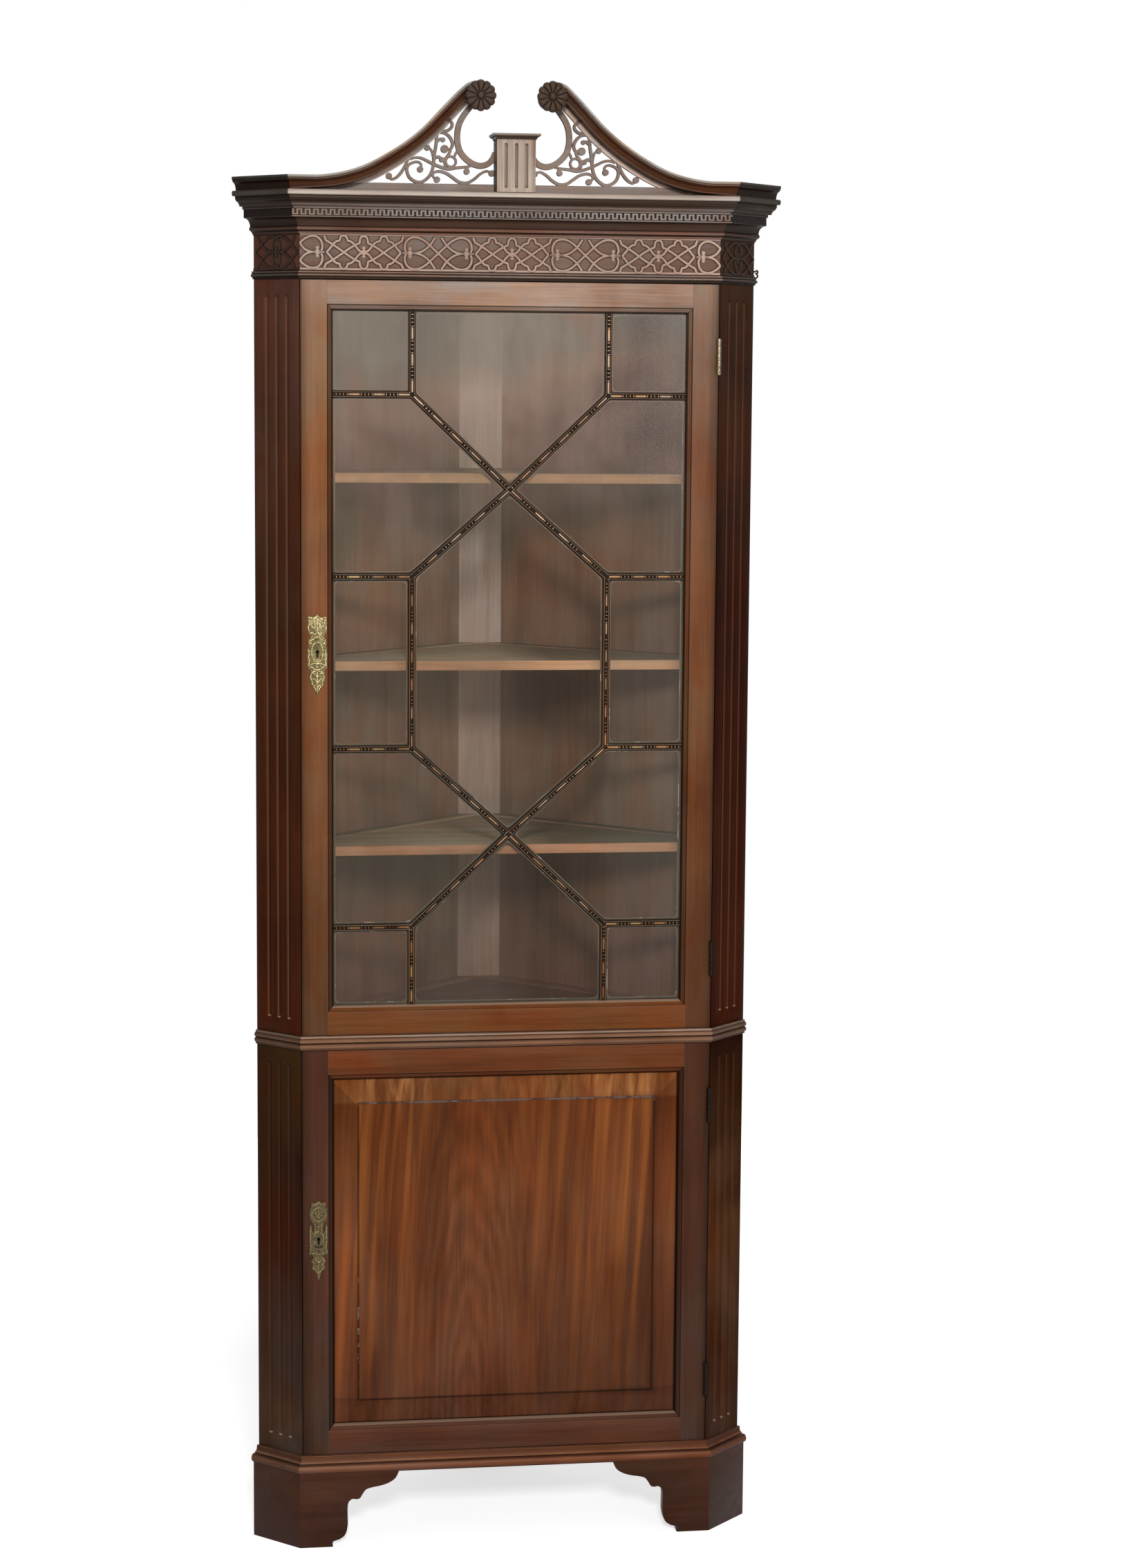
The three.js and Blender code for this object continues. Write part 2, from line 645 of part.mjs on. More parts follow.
function plinth() {
  const front = pedimentBack - plinthDepth;
  const top = topBoardTop + plinthHeight;
  const block = box(-plinthHalf, plinthHalf, front, pedimentBack, topBoardTop, top);
  const flutes = [-1, 0, 1].map((place) => {
    const x = place * plinthFlutePitch;
    return box(x - plinthFluteHalf, x + plinthFluteHalf, front - cutOverrun, front + plinthFluteDepth,
      topBoardTop + plinthFluteInset, top - plinthFluteInset);
  });
  return cut(block, flutes);
}

function plinthCap() {
  const bottom = topBoardTop + plinthHeight;
  const rings = plinthCapShares.map(([out, up]) => {
    const over = out * plinthCapOverhang;
    const half = plinthHalf + over;
    const front = pedimentBack - plinthDepth - over;
    const z = bottom + up * plinthCapHeight;
    return [[-half, front], [half, front], [half, pedimentBack], [-half, pedimentBack]]
      .map(([x, y]) => new THREE.Vector3(x, y, z));
  });
  return loft(rings, rings[0].map((point) => [point.x, point.y]));
}

function pediment() {
  const neck = swanNeck();
  addPart('swan_neck_left', mirrored(neck), wood.swan);
  addPart('swan_neck_right', neck, wood.swan);
  const fret = scrollFret();
  addPart('scroll_fret_left', mirrored(fret), wood.fret);
  addPart('scroll_fret_right', fret, wood.fret);
  const flower = rosette();
  addPart('rosette_left', mirrored(flower), wood.carved);
  addPart('rosette_right', flower, wood.carved);
  addPart('pediment_plinth', plinth(), wood.fret);
  addPart('plinth_cap', plinthCap(), wood.cornice);
}

function lowerCase() {
  const hinges = hingeCentres(doorLevels.lower, lowerHingeInset).map((z) => hingeRecess(z).pilaster);
  const flutes = [baseTop + fluteEndInset, waistBottom - fluteEndInset];
  const plain = pilaster(baseTop, waistBottom, ...flutes);
  addPart('lower_pilaster_left', cut(mirrored(plain), [boltMortise(doorLevels.lower.lock)]), wood.pilaster);
  addPart('lower_pilaster_right', cut(plain, hinges), wood.pilaster);
  const back = backBoard(baseTop, waistBottom);
  addPart('lower_back_left', mirrored(back), wood.case);
  addPart('lower_back_right', back, wood.case);
  addPart('lower_corner_board', cornerBoard(baseTop, waistBottom), wood.case);
  addPart('lower_top_board', prism(caseOutline(0), waistBottom, waistTop), wood.case);
  addPart('lower_floor_board', prism(caseOutline(0), floorBoardBottom, baseTop), wood.case);
  const level = baseTop + lowerShelfShare * lowerStageHeight - shelfThick / 2;
  const board = prism(innerOutline(doorThick + shelfSetback), level, level + shelfThick);
  addPart('lower_shelf', board, wood.case);
  const waist = mouldedRun(waistShares, waistProjection, waistBottom, waistHeight);
  addPart('waist_moulding', waist, wood.door);
  const base = mouldedRun(baseShares, baseProjection, footHeight, baseMouldingHeight);
  addPart('base_moulding', base, wood.lowerDoor);
}

// The right-hand front foot: a shaped bracket mitred to a plain canted side
function bracketFoot() {
  const inner = footProjection - footThick;
  const section = [[inner, 0], [footProjection, 0], [footProjection, footHeight], [0, footHeight],
    [0, floorBoardBottom], [inner, floorBoardBottom]];
  const stop = frontHalf - bracketReach;
  const ring = (station) => section.map(([out, z]) => {
    const [x, y] = caseLine(out)[station];
    return new THREE.Vector3(x, y, z);
  });
  const front = section.map(([out, z]) => new THREE.Vector3(stop, -out, z));
  const board = loft([ring(3), ring(2), front], section);
  const reach = bracketReach * bracketShapedShare;
  const edge = bracketShares.map(([across, up]) => [stop + (1 - across) * reach, up * footHeight]);
  const arch = frontShape([
    [stop - cutOverrun, -cutOverrun], [edge[0][0], -cutOverrun], ...edge,
    [edge.at(-1)[0], floorBoardBottom + cutOverrun], [stop - cutOverrun, floorBoardBottom + cutOverrun],
  ]);
  return cut(board, [slab(arch, -footProjection - cutOverrun, -inner + cutOverrun)]);
}

function feet() {
  const foot = bracketFoot();
  addPart('bracket_foot_left', mirrored(foot), wood.lowerDoor);
  addPart('bracket_foot_right', foot, wood.lowerDoor);
  const rearX = wallSum - cornerBack;
  const shoulder = wallSum - rearFootHalf;
  const half = [[rearFootHalf, shoulder - rearFootSide], [rearFootHalf, shoulder], [rearX, cornerBack]];
  const plan = [...half, ...half.map(([x, y]) => [-x, y]).reverse()];
  addPart('rear_foot', prism(plan, 0, floorBoardBottom), wood.case);
}

// Heights of a door: its ends, its opening between the rails, and its lock
function doorSpan(caseBottom, caseTop, railWidth, lockShare) {
  const bottom = caseBottom + doorEndGap;
  const top = caseTop - doorEndGap;
  return { bottom, top, low: bottom + railWidth, high: top - railWidth,
    lock: bottom + lockShare * (top - bottom) };
}

const doorLevels = {
  upper: doorSpan(waistTop, neckingBottom, upperRailWidth, upperLockShare),
  lower: doorSpan(baseTop, waistBottom, lowerRailWidth, lowerLockShare),
};

function hingeCentres({ bottom, top }, inset) {
  return [bottom + inset, top - inset];
}

// The moulded inner edge of a door member: distance in from its edge and depth from the door's face
function stickingSection() {
  const fall = stickingFallShare * (rebateDepth - stickingQuirk);
  const round = stickingShares.map(([across, deep]) => [
    across * stickingWidth, stickingQuirk + deep * fall,
  ]);
  return [[-cutOverrun, cutOverrun], [0, stickingQuirk], ...round, [stickingWidth, rebateDepth],
    [-cutOverrun, rebateDepth]];
}

// A stile or rail: a square board with a moulded edge that is mitred at both ends.
// place turns distance in, depth and distance along into a point.
function member(board, start, end, place) {
  const section = stickingSection();
  const inset = (across) => (across > 0 ? across + mitreGap : 0);
  const rings = [start, end].map((stop, k) => section.map(([across, depth]) => (
    place(across, depth, stop + (k === 0 ? 1 : -1) * inset(across))
  )));
  return join([board, loft(rings, section)]);
}

function stile(side, { bottom, top, low, high }) {
  const board = side > 0 ? box(openingHalf, doorHalf, 0, doorThick, bottom, top)
    : box(-doorHalf, -openingHalf, 0, doorThick, bottom, top);
  const place = (across, depth, along) => new THREE.Vector3(side * (openingHalf - across), depth, along);
  return member(board, low, high, place);
}

function rail(edge, outerEdge) {
  const inward = Math.sign(edge - outerEdge);
  const board = box(-openingHalf, openingHalf, 0, doorThick, Math.min(edge, outerEdge),
    Math.max(edge, outerEdge));
  const place = (across, depth, along) => new THREE.Vector3(along, depth, edge + inward * across);
  return member(board, -openingHalf, openingHalf, place);
}

// One glazing bar between two nodes of the lattice, with a rounded front and a square back
function bar([x0, z0], [x1, z1]) {
  const half = barWidth / 2;
  const bead = half * barBeadShare;
  const shoulder = barSetback + bead;
  const bend = bead * rootHalf;
  const section = [[-half, rebateDepth], [-half, shoulder + bead / 2], [-bead, shoulder],
    [-bend, shoulder - bend], [0, barSetback], [bend, shoulder - bend], [bead, shoulder],
    [half, shoulder + bead / 2], [half, rebateDepth]];
  const along = new THREE.Vector2(x1 - x0, z1 - z0).normalize();
  const rings = [[x0, z0], [x1, z1]].map(([x, z]) => section.map(([across, depth]) => (
    new THREE.Vector3(x - along.y * across, depth, z + along.x * across)
  )));
  return loft(rings, section);
}

// Thirteen panes: crossed diagonals above and below an upright hexagon, and stubs out to the frame
function astragalLattice({ low, high }) {
  const bottom = low + stickingWidth;
  const height = high - low - 2 * stickingWidth;
  const [foot, crossLow, waistLow, waistHigh, crossHigh, head] = latticeLevelShares
    .map((share) => bottom + share * height);
  const edge = sightHalf - seatGap;
  const ends = [bottom + seatGap, bottom + height - seatGap];
  const bars = [1, -1].flatMap((side) => {
    const x = side * latticeHalf;
    return [
      bar([x, head], [x, ends[1]]), bar([x, ends[0]], [x, foot]), bar([x, waistLow], [x, waistHigh]),
      bar([x, head], [0, crossHigh]), bar([0, crossHigh], [x, waistHigh]),
      bar([x, waistLow], [0, crossLow]), bar([0, crossLow], [x, foot]),
      ...[head, waistHigh, waistLow, foot].map((z) => bar([x, z], [side * edge, z])),
    ];
  });
  const knots = [head, waistHigh, waistLow, foot].flatMap((z) => [[latticeHalf, z], [-latticeHalf, z]]);
  const bosses = [...knots, [0, crossHigh], [0, crossLow]].map(([x, z]) => (
    disc(x, z, barWidth / 2, barSetback + barWidth / 4, rebateDepth, 12)
  ));
  return join([...bars, ...bosses]);
}

// The raised and fielded panel, tongue at its edges and field standing forward
function fieldedPanel({ low, high }) {
  const tongueHalf = openingHalf - seatGap;
  const middle = (low + high) / 2;
  const tongueRise = (high - low) / 2 - seatGap;
  const ring = (inset, depth) => [[-1, -1], [1, -1], [1, 1], [-1, 1]].map(([sx, sz]) => (
    new THREE.Vector3(sx * (tongueHalf - inset), depth, middle + sz * (tongueRise - inset))
  ));
  const frontDepth = rebateDepth + seatGap;
  const sight = stickingWidth + seatGap;
  const field = stickingWidth + panelMargin;
  const rings = [
    ring(0, frontDepth + panelThick), ring(0, frontDepth), ring(sight, frontDepth),
    ring(sight, frontDepth - panelEdgeRise), ring(field, panelFieldSetback + panelFieldStep),
    ring(field, panelFieldSetback),
  ];
  return loft(rings, rings[0].map((point) => [point.x, point.z]));
}

function keyhole(lockZ, y0, y1) {
  const upper = disc(lockX, lockZ, keyholeRadius, y0, y1, 12);
  const lower = box(lockX - keyholeHalf, lockX + keyholeHalf, y0, y1, lockZ - keyholeDrop, lockZ);
  return join([upper, lower]);
}

function lockPocket(lockZ) {
  const half = lockCaseHalf + seatGap;
  const front = doorThick - lockCaseDepth - seatGap;
  return box(-doorHalf - cutOverrun, -doorHalf + lockCaseWidth + seatGap, front, doorThick + cutOverrun,
    lockZ - half, lockZ + half);
}

function escutcheon(lockZ) {
  const bottom = lockZ - keyholeShare * escutcheonHeight;
  const place = ([across, up]) => [lockX + across * escutcheonHalf, bottom + up * escutcheonHeight];
  const right = escutcheonShares.map(place);
  const left = escutcheonShares.slice(1).reverse().map(([across, up]) => place([-across, up]));
  const plate = slab(frontShape([...right, ...left]), -escutcheonThick, 0);
  return cut(plate, [keyhole(lockZ, -escutcheonThick - cutOverrun, cutOverrun)]);
}

function lockCase(lockZ) {
  const front = doorThick - lockCaseDepth;
  const edge = -doorHalf + seatGap;
  const body = box(edge, -doorHalf + lockCaseWidth, front, doorThick, lockZ - lockCaseHalf,
    lockZ + lockCaseHalf);
  const [boltFront, boltBack] = boltDepths();
  const half = boltHalf + slideGap;
  const slot = box(edge - cutOverrun, edge + boltLength + boltSetback, boltFront - slideGap,
    boltBack + slideGap, lockZ - half, lockZ + half);
  return cut(body, [slot, keyhole(lockZ, front - cutOverrun, boltFront)]);
}

function lockBolt(lockZ) {
  const edge = -doorHalf + seatGap;
  const [front, back] = boltDepths();
  return box(edge, edge + boltLength, front, back, lockZ - boltHalf, lockZ + boltHalf);
}

// Both leaves of one butt hinge, closed, with the knuckles standing out in front of the door
function buttHinge(middle) {
  const bottom = middle - hingeLength / 2;
  const pitch = hingeLength / knuckleCount;
  const axisY = -(knuckleRadius + seatGap);
  const leaf = (side) => {
    const near = hingeX + side * hingeLeafGap / 2;
    const far = near + side * hingeLeafThick;
    const [x0, x1] = [Math.min(near, far), Math.max(near, far)];
    const plate = box(x0, x1, 0, hingeLeafDepth, bottom, bottom + hingeLength);
    const owned = Array.from({ length: knuckleCount }, (_, k) => k)
      .filter((k) => k % 2 === (side > 0 ? 0 : 1));
    const barrels = owned.flatMap((k) => {
      const low = bottom + k * pitch + (k === 0 ? 0 : knuckleGap / 2);
      const high = bottom + (k + 1) * pitch - (k === knuckleCount - 1 ? 0 : knuckleGap / 2);
      const barrel = new THREE.CylinderGeometry(knuckleRadius, knuckleRadius, high - low, 12);
      barrel.rotateX(Math.PI / 2).translate(hingeX, axisY, (low + high) / 2);
      return [barrel, box(x0, x1, axisY, hingeLeafThick, low, high)];
    });
    return { plate, barrels };
  };
  const pin = (radius, overrun) => new THREE.CylinderGeometry(radius, radius, hingeLength + 2 * overrun, 12)
    .rotateX(Math.PI / 2).translate(hingeX, axisY, middle);
  const fixed = leaf(1);
  const moving = leaf(-1);
  return {
    fixed: join([fixed.plate, ...fixed.barrels, pin(pinRadius, 0)]),
    moving: cut(join([moving.plate, ...moving.barrels]), [pin(pinRadius + pinClearance, cutOverrun)]),
  };
}

function door(stage, levels, hingeInset, look) {
  const centres = hingeCentres(levels, hingeInset);
  const recesses = centres.map((z) => hingeRecess(z).door);
  const lockCuts = [lockPocket(levels.lock), keyhole(levels.lock, -cutOverrun, doorThick)];
  addPart(`${stage}_door_lock_stile`, cut(stile(-1, levels), lockCuts), look);
  addPart(`${stage}_door_hinge_stile`, cut(stile(1, levels), recesses), look);
  addPart(`${stage}_door_top_rail`, rail(levels.high, levels.top), look);
  addPart(`${stage}_door_bottom_rail`, rail(levels.low, levels.bottom), look);
  addPart(`${stage}_escutcheon`, escutcheon(levels.lock), metal.brass, 1);
  addPart(`${stage}_lock_case`, lockCase(levels.lock), metal.iron, 1);
  addPart(`${stage}_lock_bolt`, lockBolt(levels.lock), metal.iron, 1);
  ['bottom', 'top'].forEach((place, k) => {
    const { fixed, moving } = buttHinge(centres[k]);
    addPart(`${stage}_${place}_hinge_case_leaf`, fixed, metal.brass, 1);
    addPart(`${stage}_${place}_hinge_door_leaf`, moving, metal.brass, 1);
  });
}

function glazing({ low, high }) {
  const half = openingHalf - seatGap;
  const front = rebateDepth + seatGap;
  const pane = box(-half, half, front, front + glassThick, low + seatGap, high - seatGap);
  addPart('door_glass', pane, [0xb9c4bd, 0.05]);
  addPart('astragal_lattice', astragalLattice({ low, high }), wood.lowerDoor);
}

upperCase();
entablature();
pediment();
lowerCase();
feet();
door('upper', doorLevels.upper, upperHingeInset, wood.door);
door('lower', doorLevels.lower, lowerHingeInset, wood.lowerDoor);
glazing(doorLevels.upper);
addPart('lower_door_panel', fieldedPanel(doorLevels.lower), wood.panel);

// The origin is the middle of the whole footprint, on the floor
const extent = new THREE.Box3().setFromObject(group).getCenter(new THREE.Vector3());
group.position.y = -extent.y;

export default group;
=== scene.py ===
"""Corner cupboard in old mahogany: a glazed stage with a carved frieze and a swan-neck pediment,
over a panelled stage on bracket feet. Lengths are millimetres until at() places them."""
import json
import math
import random

import bmesh
import bpy
from mathutils import Matrix, Vector


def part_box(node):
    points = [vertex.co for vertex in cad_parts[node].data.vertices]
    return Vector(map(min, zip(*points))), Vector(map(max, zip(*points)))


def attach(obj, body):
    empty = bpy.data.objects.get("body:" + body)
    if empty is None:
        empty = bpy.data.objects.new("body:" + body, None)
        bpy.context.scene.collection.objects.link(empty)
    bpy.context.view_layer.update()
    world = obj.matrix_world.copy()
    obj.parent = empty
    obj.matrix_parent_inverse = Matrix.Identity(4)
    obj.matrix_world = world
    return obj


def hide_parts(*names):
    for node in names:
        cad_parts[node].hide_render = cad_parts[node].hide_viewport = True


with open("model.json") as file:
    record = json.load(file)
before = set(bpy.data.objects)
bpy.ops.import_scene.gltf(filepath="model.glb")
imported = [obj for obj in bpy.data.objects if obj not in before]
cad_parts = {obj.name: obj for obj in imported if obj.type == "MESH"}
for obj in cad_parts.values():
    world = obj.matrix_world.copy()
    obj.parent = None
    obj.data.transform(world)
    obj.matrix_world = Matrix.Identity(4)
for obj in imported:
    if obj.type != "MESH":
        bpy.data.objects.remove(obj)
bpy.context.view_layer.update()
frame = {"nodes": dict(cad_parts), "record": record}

MM = 0.001
SAME_POINT = 2e-6
CASE_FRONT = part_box("frieze_rail")[0].y
BODY_OF = {
    node: body
    for body, members in frame["record"]["behaviour"]["bodies"].items()
    for node in members
}
scene = bpy.context.scene
chance = random.Random(7)

# Plan of the case, the same as the joinery's
FRONT_HALF = 322.0
CANT_WIDTH = 93.0
ROOT_HALF = math.sqrt(0.5)
CANT_REACH = CANT_WIDTH * ROOT_HALF
MITRE_SHARE = math.tan(math.pi / 8)
PILASTER_THICK = 22.0
FLUTE_PLACES = (0.28, 0.5, 0.72)
FLUTE_RADIUS = 4.5
# Cut into the pilasters: across from and to, back from and to; then half the height
HINGE_RECESS, HINGE_HALF = (321.0, 323.7, -2, 18.3), 27.8
BOLT_MORTISE, BOLT_HALF = (-332, -320, 13.6, 19.4), 8.4

# Levels from the floor up
BASE_TOP = 146.0
WAIST_BOTTOM = 796.0
WAIST_TOP = 818.0
NECKING_BOTTOM = 1979.0
FRIEZE_BOTTOM = 1991.0
CORNICE_BOTTOM = 2046.0
CORNICE_TOP = 2101.0
TOP_BOARD_TOP = 2109.0
KEY_FACE_OUT = 22.0

# Pediment
TOP_BOARD_OUT = 48.0
SWAN_HEIGHT = 18.0
SWAN_LIFT = 3.0
SWAN_RISE = 141.2
SWAN_LOW = TOP_BOARD_TOP + SWAN_LIFT + SWAN_HEIGHT / 2
FRET_FRONT = -12.0
FRET_THICK = 8.0
PLINTH_HALF = 29.2
PLINTH_DEPTH = 44.0
PLINTH_HEIGHT = 78.0
FRET_REACH = 0.82 * (FRONT_HALF - PLINTH_HALF)
FRET_HEIGHT = 0.85 * SWAN_RISE
ROSETTE_OUT = 54.1
ROSETTE_LEVEL = 2250.4

# Doors
DOOR_HALF = 321.0
OPENING_HALF = 281.0
SIGHT_HALF = 272.0
LATTICE_HALF = 151.0
GLASS_DEPTH = 10.3
PANE_LEAN = 0.12
LOCK_ACROSS = -296.5
DOOR_LEVELS = {
    "upper": {"low": 855.5, "high": 1941.5, "lock": 1415.3, "hinges": (929.5, 1867.5)},
    "lower": {"low": 185.5, "high": 756.5, "lock": 495.6, "hinges": (247.5, 694.5)},
}


# ---------------------------------------------------------------- placing


def at(x, y, z):
    """A point: across from the middle, back from the case's front, up from the floor."""
    return Vector((x * MM, CASE_FRONT + y * MM, z * MM))


def case_line(out):
    """The case's visible line at a distance out from it: wall end, mitre, mitre, wall end."""
    end_x = FRONT_HALF + CANT_REACH + out * ROOT_HALF
    end_y = CANT_REACH - out * ROOT_HALF
    mitre_x = FRONT_HALF + out * MITRE_SHARE
    return [(-end_x, end_y), (-mitre_x, -out), (mitre_x, -out), (end_x, end_y)]


def cant_point(along, out):
    """Plan point on the right-hand cant, along it from the mitre and out from its face."""
    return (FRONT_HALF + (along + out) * ROOT_HALF, (along - out) * ROOT_HALF)


# A drawing lies flat with its relief along +Z; these stand it up on the piece it belongs to
def on_front(depth=0.0, side=1):
    """Stands a drawing on a plane that faces the front, mirrored where side is -1."""
    base = at(0, depth, 0)
    return Matrix(
        ((side * MM, 0, 0, base.x), (0, 0, -MM, base.y), (0, MM, 0, base.z), (0, 0, 0, 1))
    )


def on_cant(out=0.0, side=1):
    """Stands a drawing on a cant: its x runs along the cant from the mitre."""
    x, y = cant_point(0, out)
    base = at(side * x, y, 0)
    return Matrix(
        (
            (side * ROOT_HALF * MM, 0, side * ROOT_HALF * MM, base.x),
            (ROOT_HALF * MM, 0, -ROOT_HALF * MM, base.y), (0, MM, 0, base.z), (0, 0, 0, 1),
        )
    )


# ---------------------------------------------------------------- making meshes


def profile(*steps, arc_steps=6):
    """A section: straight to each point, or by an arc where a third number gives its bulge."""
    points = [steps[0][:2]]
    for x, y, *bulge in steps[1:]:
        if bulge:
            start, bow = points[-1], bulge[0]
            lean = (1 - bow * bow) / (4 * bow)
            centre = Vector(
                (
                    (start[0] + x) / 2 - (y - start[1]) * lean,
                    (start[1] + y) / 2 + (x - start[0]) * lean,
                )
            )
            spoke = Vector(start) - centre
            for k in range(1, arc_steps):
                turn = Matrix.Rotation(4 * math.atan(bow) * k / arc_steps, 2)
                points.append(tuple(centre + turn @ spoke))
        points.append((x, y))
    return points


def spline(points, steps=8):
    """A smooth line through the given points."""
    points = [Vector(p) for p in points]
    line = []
    for k in range(len(points) - 1):
        a, b = points[max(k - 1, 0)], points[k]
        c, d = points[k + 1], points[min(k + 2, len(points) - 1)]
        for j in range(steps):
            t = j / steps
            line.append(
                0.5
                * (
                    2 * b
                    + (c - a) * t
                    + (2 * a - 5 * b + 4 * c - d) * t * t
                    + (3 * b - a - 3 * c + d) * t * t * t
                )
            )
    return line + [points[-1]]


def evenly(line, count):
    """The same line given again by evenly spaced points."""
    lengths = [0.0]
    for a, b in zip(line, line[1:]):
        lengths.append(lengths[-1] + (b - a).length)
    points, k = [], 0
    for j in range(count + 1):
        goal = lengths[-1] * j / count
        while k < len(line) - 2 and lengths[k + 1] < goal:
            k += 1
        share = (goal - lengths[k]) / max(lengths[k + 1] - lengths[k], 1e-9)
        points.append(line[k].lerp(line[k + 1], min(max(share, 0), 1)))
    return points


def loft(rings):
    """One closed skin through rings of equal count."""
    count = len(rings[0])
    points = [point for ring in rings for point in ring]
    faces = []
    for k in range(len(rings) - 1):
        for j in range(count):
            here, beside = k * count + j, k * count + (j + 1) % count
            faces.append((here, beside, beside + count, here + count))
    faces.append(tuple(reversed(range(count))))
    faces.append(tuple(range(len(points) - count, len(points))))
    return points, faces


def skin(points, faces, placed=False):
    """A loose mesh from points in millimetres, or from points that are placed already."""
    mesh = bpy.data.meshes.new("skin")
    mesh.from_pydata([p if placed else at(*p) for p in points], [], faces)
    return mesh


def marked(mesh, name, values):
    """Writes a number at every point of a mesh, for its finish to read."""
    mesh.attributes.new(name, "FLOAT", "POINT").data.foreach_set("value", values)


def merged(*meshes):
    """Several meshes as one."""
    shell = bmesh.new()
    for mesh in meshes:
        shell.from_mesh(mesh)
    whole = bpy.data.meshes.new("merged")
    shell.to_mesh(whole)
    shell.free()
    return whole


def opened(mesh):
    """A mesh opened for editing, with doubles merged and faces outward."""
    shell = bmesh.new()
    shell.from_mesh(mesh)
    bmesh.ops.remove_doubles(shell, verts=shell.verts, dist=SAME_POINT)
    bmesh.ops.recalc_face_normals(shell, faces=shell.faces)
    return shell


def linked(name, data):
    """A new object of the scene."""
    made = bpy.data.objects.new(name, data)
    scene.collection.objects.link(made)
    return made


def frozen(holder):
    """The mesh that an object shows; the object itself is removed."""
    depsgraph = bpy.context.evaluated_depsgraph_get()
    mesh = bpy.data.meshes.new_from_object(holder.evaluated_get(depsgraph))
    bpy.data.objects.remove(holder)
    return mesh


def settle(name, mesh, finish, crease=38, ease=0.0, ease_over=50):
    """A piece from a mesh: doubles merged, faces outward, arrises eased, creases kept crisp."""
    shell = opened(mesh)
    if ease:
        bmesh.ops.dissolve_limit(
            shell, angle_limit=math.radians(0.6), verts=shell.verts, edges=shell.edges
        )
        arrises = [
            edge
            for edge in shell.edges
            if edge.is_manifold and edge.calc_face_angle(0) > math.radians(ease_over)
        ]
        bmesh.ops.bevel(
            shell, geom=arrises, offset=ease * MM, segments=2, profile=0.5, affect="EDGES",
            clamp_overlap=True,
        )
    for face in shell.faces:
        face.smooth = True
    for edge in shell.edges:
        turned = edge.calc_face_angle(0) if edge.is_manifold else math.pi
        edge.smooth = turned < math.radians(crease)
    made = bpy.data.meshes.new(name)
    shell.to_mesh(made)
    shell.free()
    made.materials.append(finish)
    return linked(name, made)


def fit(piece, body, slot, *nodes):
    """Fixes a finished piece to its body and hides the solids it stands for."""
    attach(piece, body)
    if nodes:
        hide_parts(*nodes)
    return piece


def joinery(node):
    """A copy of a joinery solid's mesh."""
    return frame["nodes"][node].data.copy()


def dressed(node, slot, finish, name=None, ease=0.7, **shape):
    """A board of the joinery with its arrises eased by hand and its own finish."""
    piece = settle(name or node + "_eased", joinery(node), finish, ease=ease, **shape)
    return fit(piece, BODY_OF[node], slot, node)


def block(x0, x1, y0, y1, z0, z1):
    """A square block, for cutting with."""
    rings = [[(x0, y0, z), (x1, y0, z), (x1, y1, z), (x0, y1, z)] for z in (z0, z1)]
    return skin(*loft(rings))


def carved(mesh, cutters):
    """A mesh with other meshes cut from it."""
    stock = linked("stock", mesh)
    tools = []
    for cutter in cutters:
        tool = linked("tool", cutter)
        tools.append(tool)
        step = stock.modifiers.new("cut", "BOOLEAN")
        step.object, step.solver = tool, "MANIFOLD"
    depsgraph = bpy.context.evaluated_depsgraph_get()
    result = bpy.data.meshes.new_from_object(stock.evaluated_get(depsgraph))
    for used in [stock, *tools]:
        bpy.data.objects.remove(used)
    return result


def closed(mesh):
    """The same mesh with doubles merged and faces outward, ready for cutting."""
    shell = opened(mesh)
    shell.to_mesh(mesh)
    shell.free()
    return mesh


def drawn_lines(lines):
    """Lines on the drawing plane as one curve object; each point may give its own width share."""
    curve = bpy.data.curves.new("lines", "CURVE")
    curve.dimensions = "3D"
    for line in lines:
        strand = curve.splines.new("POLY")
        strand.points.add(len(line) - 1)
        for point, place in zip(strand.points, line):
            x, y, z, width = (*place, 0.0, 1.0)[:4] if len(place) == 2 else (*place, 1.0)[:4]
            point.co, point.radius = (x, y, z, 1.0), width
    return linked("lines", curve)


def grown(holder, tree, **inputs):
    """The mesh that a node tree makes from an object, with the tree's named inputs set."""
    step = holder.modifiers.new("grow", "NODES")
    step.node_group = tree
    for socket in tree.interface.items_tree:
        if socket.item_type == "SOCKET" and socket.in_out == "INPUT" and socket.name in inputs:
            step[socket.identifier] = inputs[socket.name]
    return frozen(holder)


def cutout(outlines, thick, soft=0.0):
    """A flat shape sawn from thin stock on the drawing plane; inner outlines are holes."""
    curve = bpy.data.curves.new("cutout", "CURVE")
    curve.dimensions, curve.fill_mode = "2D", "BOTH"
    curve.extrude = thick / 2 - soft
    curve.bevel_depth, curve.bevel_resolution, curve.offset = soft, 2, -soft
    for outline in outlines:
        strand = curve.splines.new("POLY")
        strand.points.add(len(outline) - 1)
        for point, place in zip(strand.points, outline):
            point.co = (place[0], place[1], 0, 1)
        strand.use_cyclic_u = True
    return frozen(linked("cutout", curve))


# ---------------------------------------------------------------- node trees


def tree_node(tree, kind, inputs=None, **settings):
    """A node with its settings made and its inputs linked or set."""
    made = tree.nodes.new(kind)
    for key, value in settings.items():
        setattr(made, key, value)
    for key, value in (inputs or {}).items():
        if isinstance(value, bpy.types.NodeSocket):
            tree.links.new(value, made.inputs[key])
        else:
            made.inputs[key].default_value = value
    return made


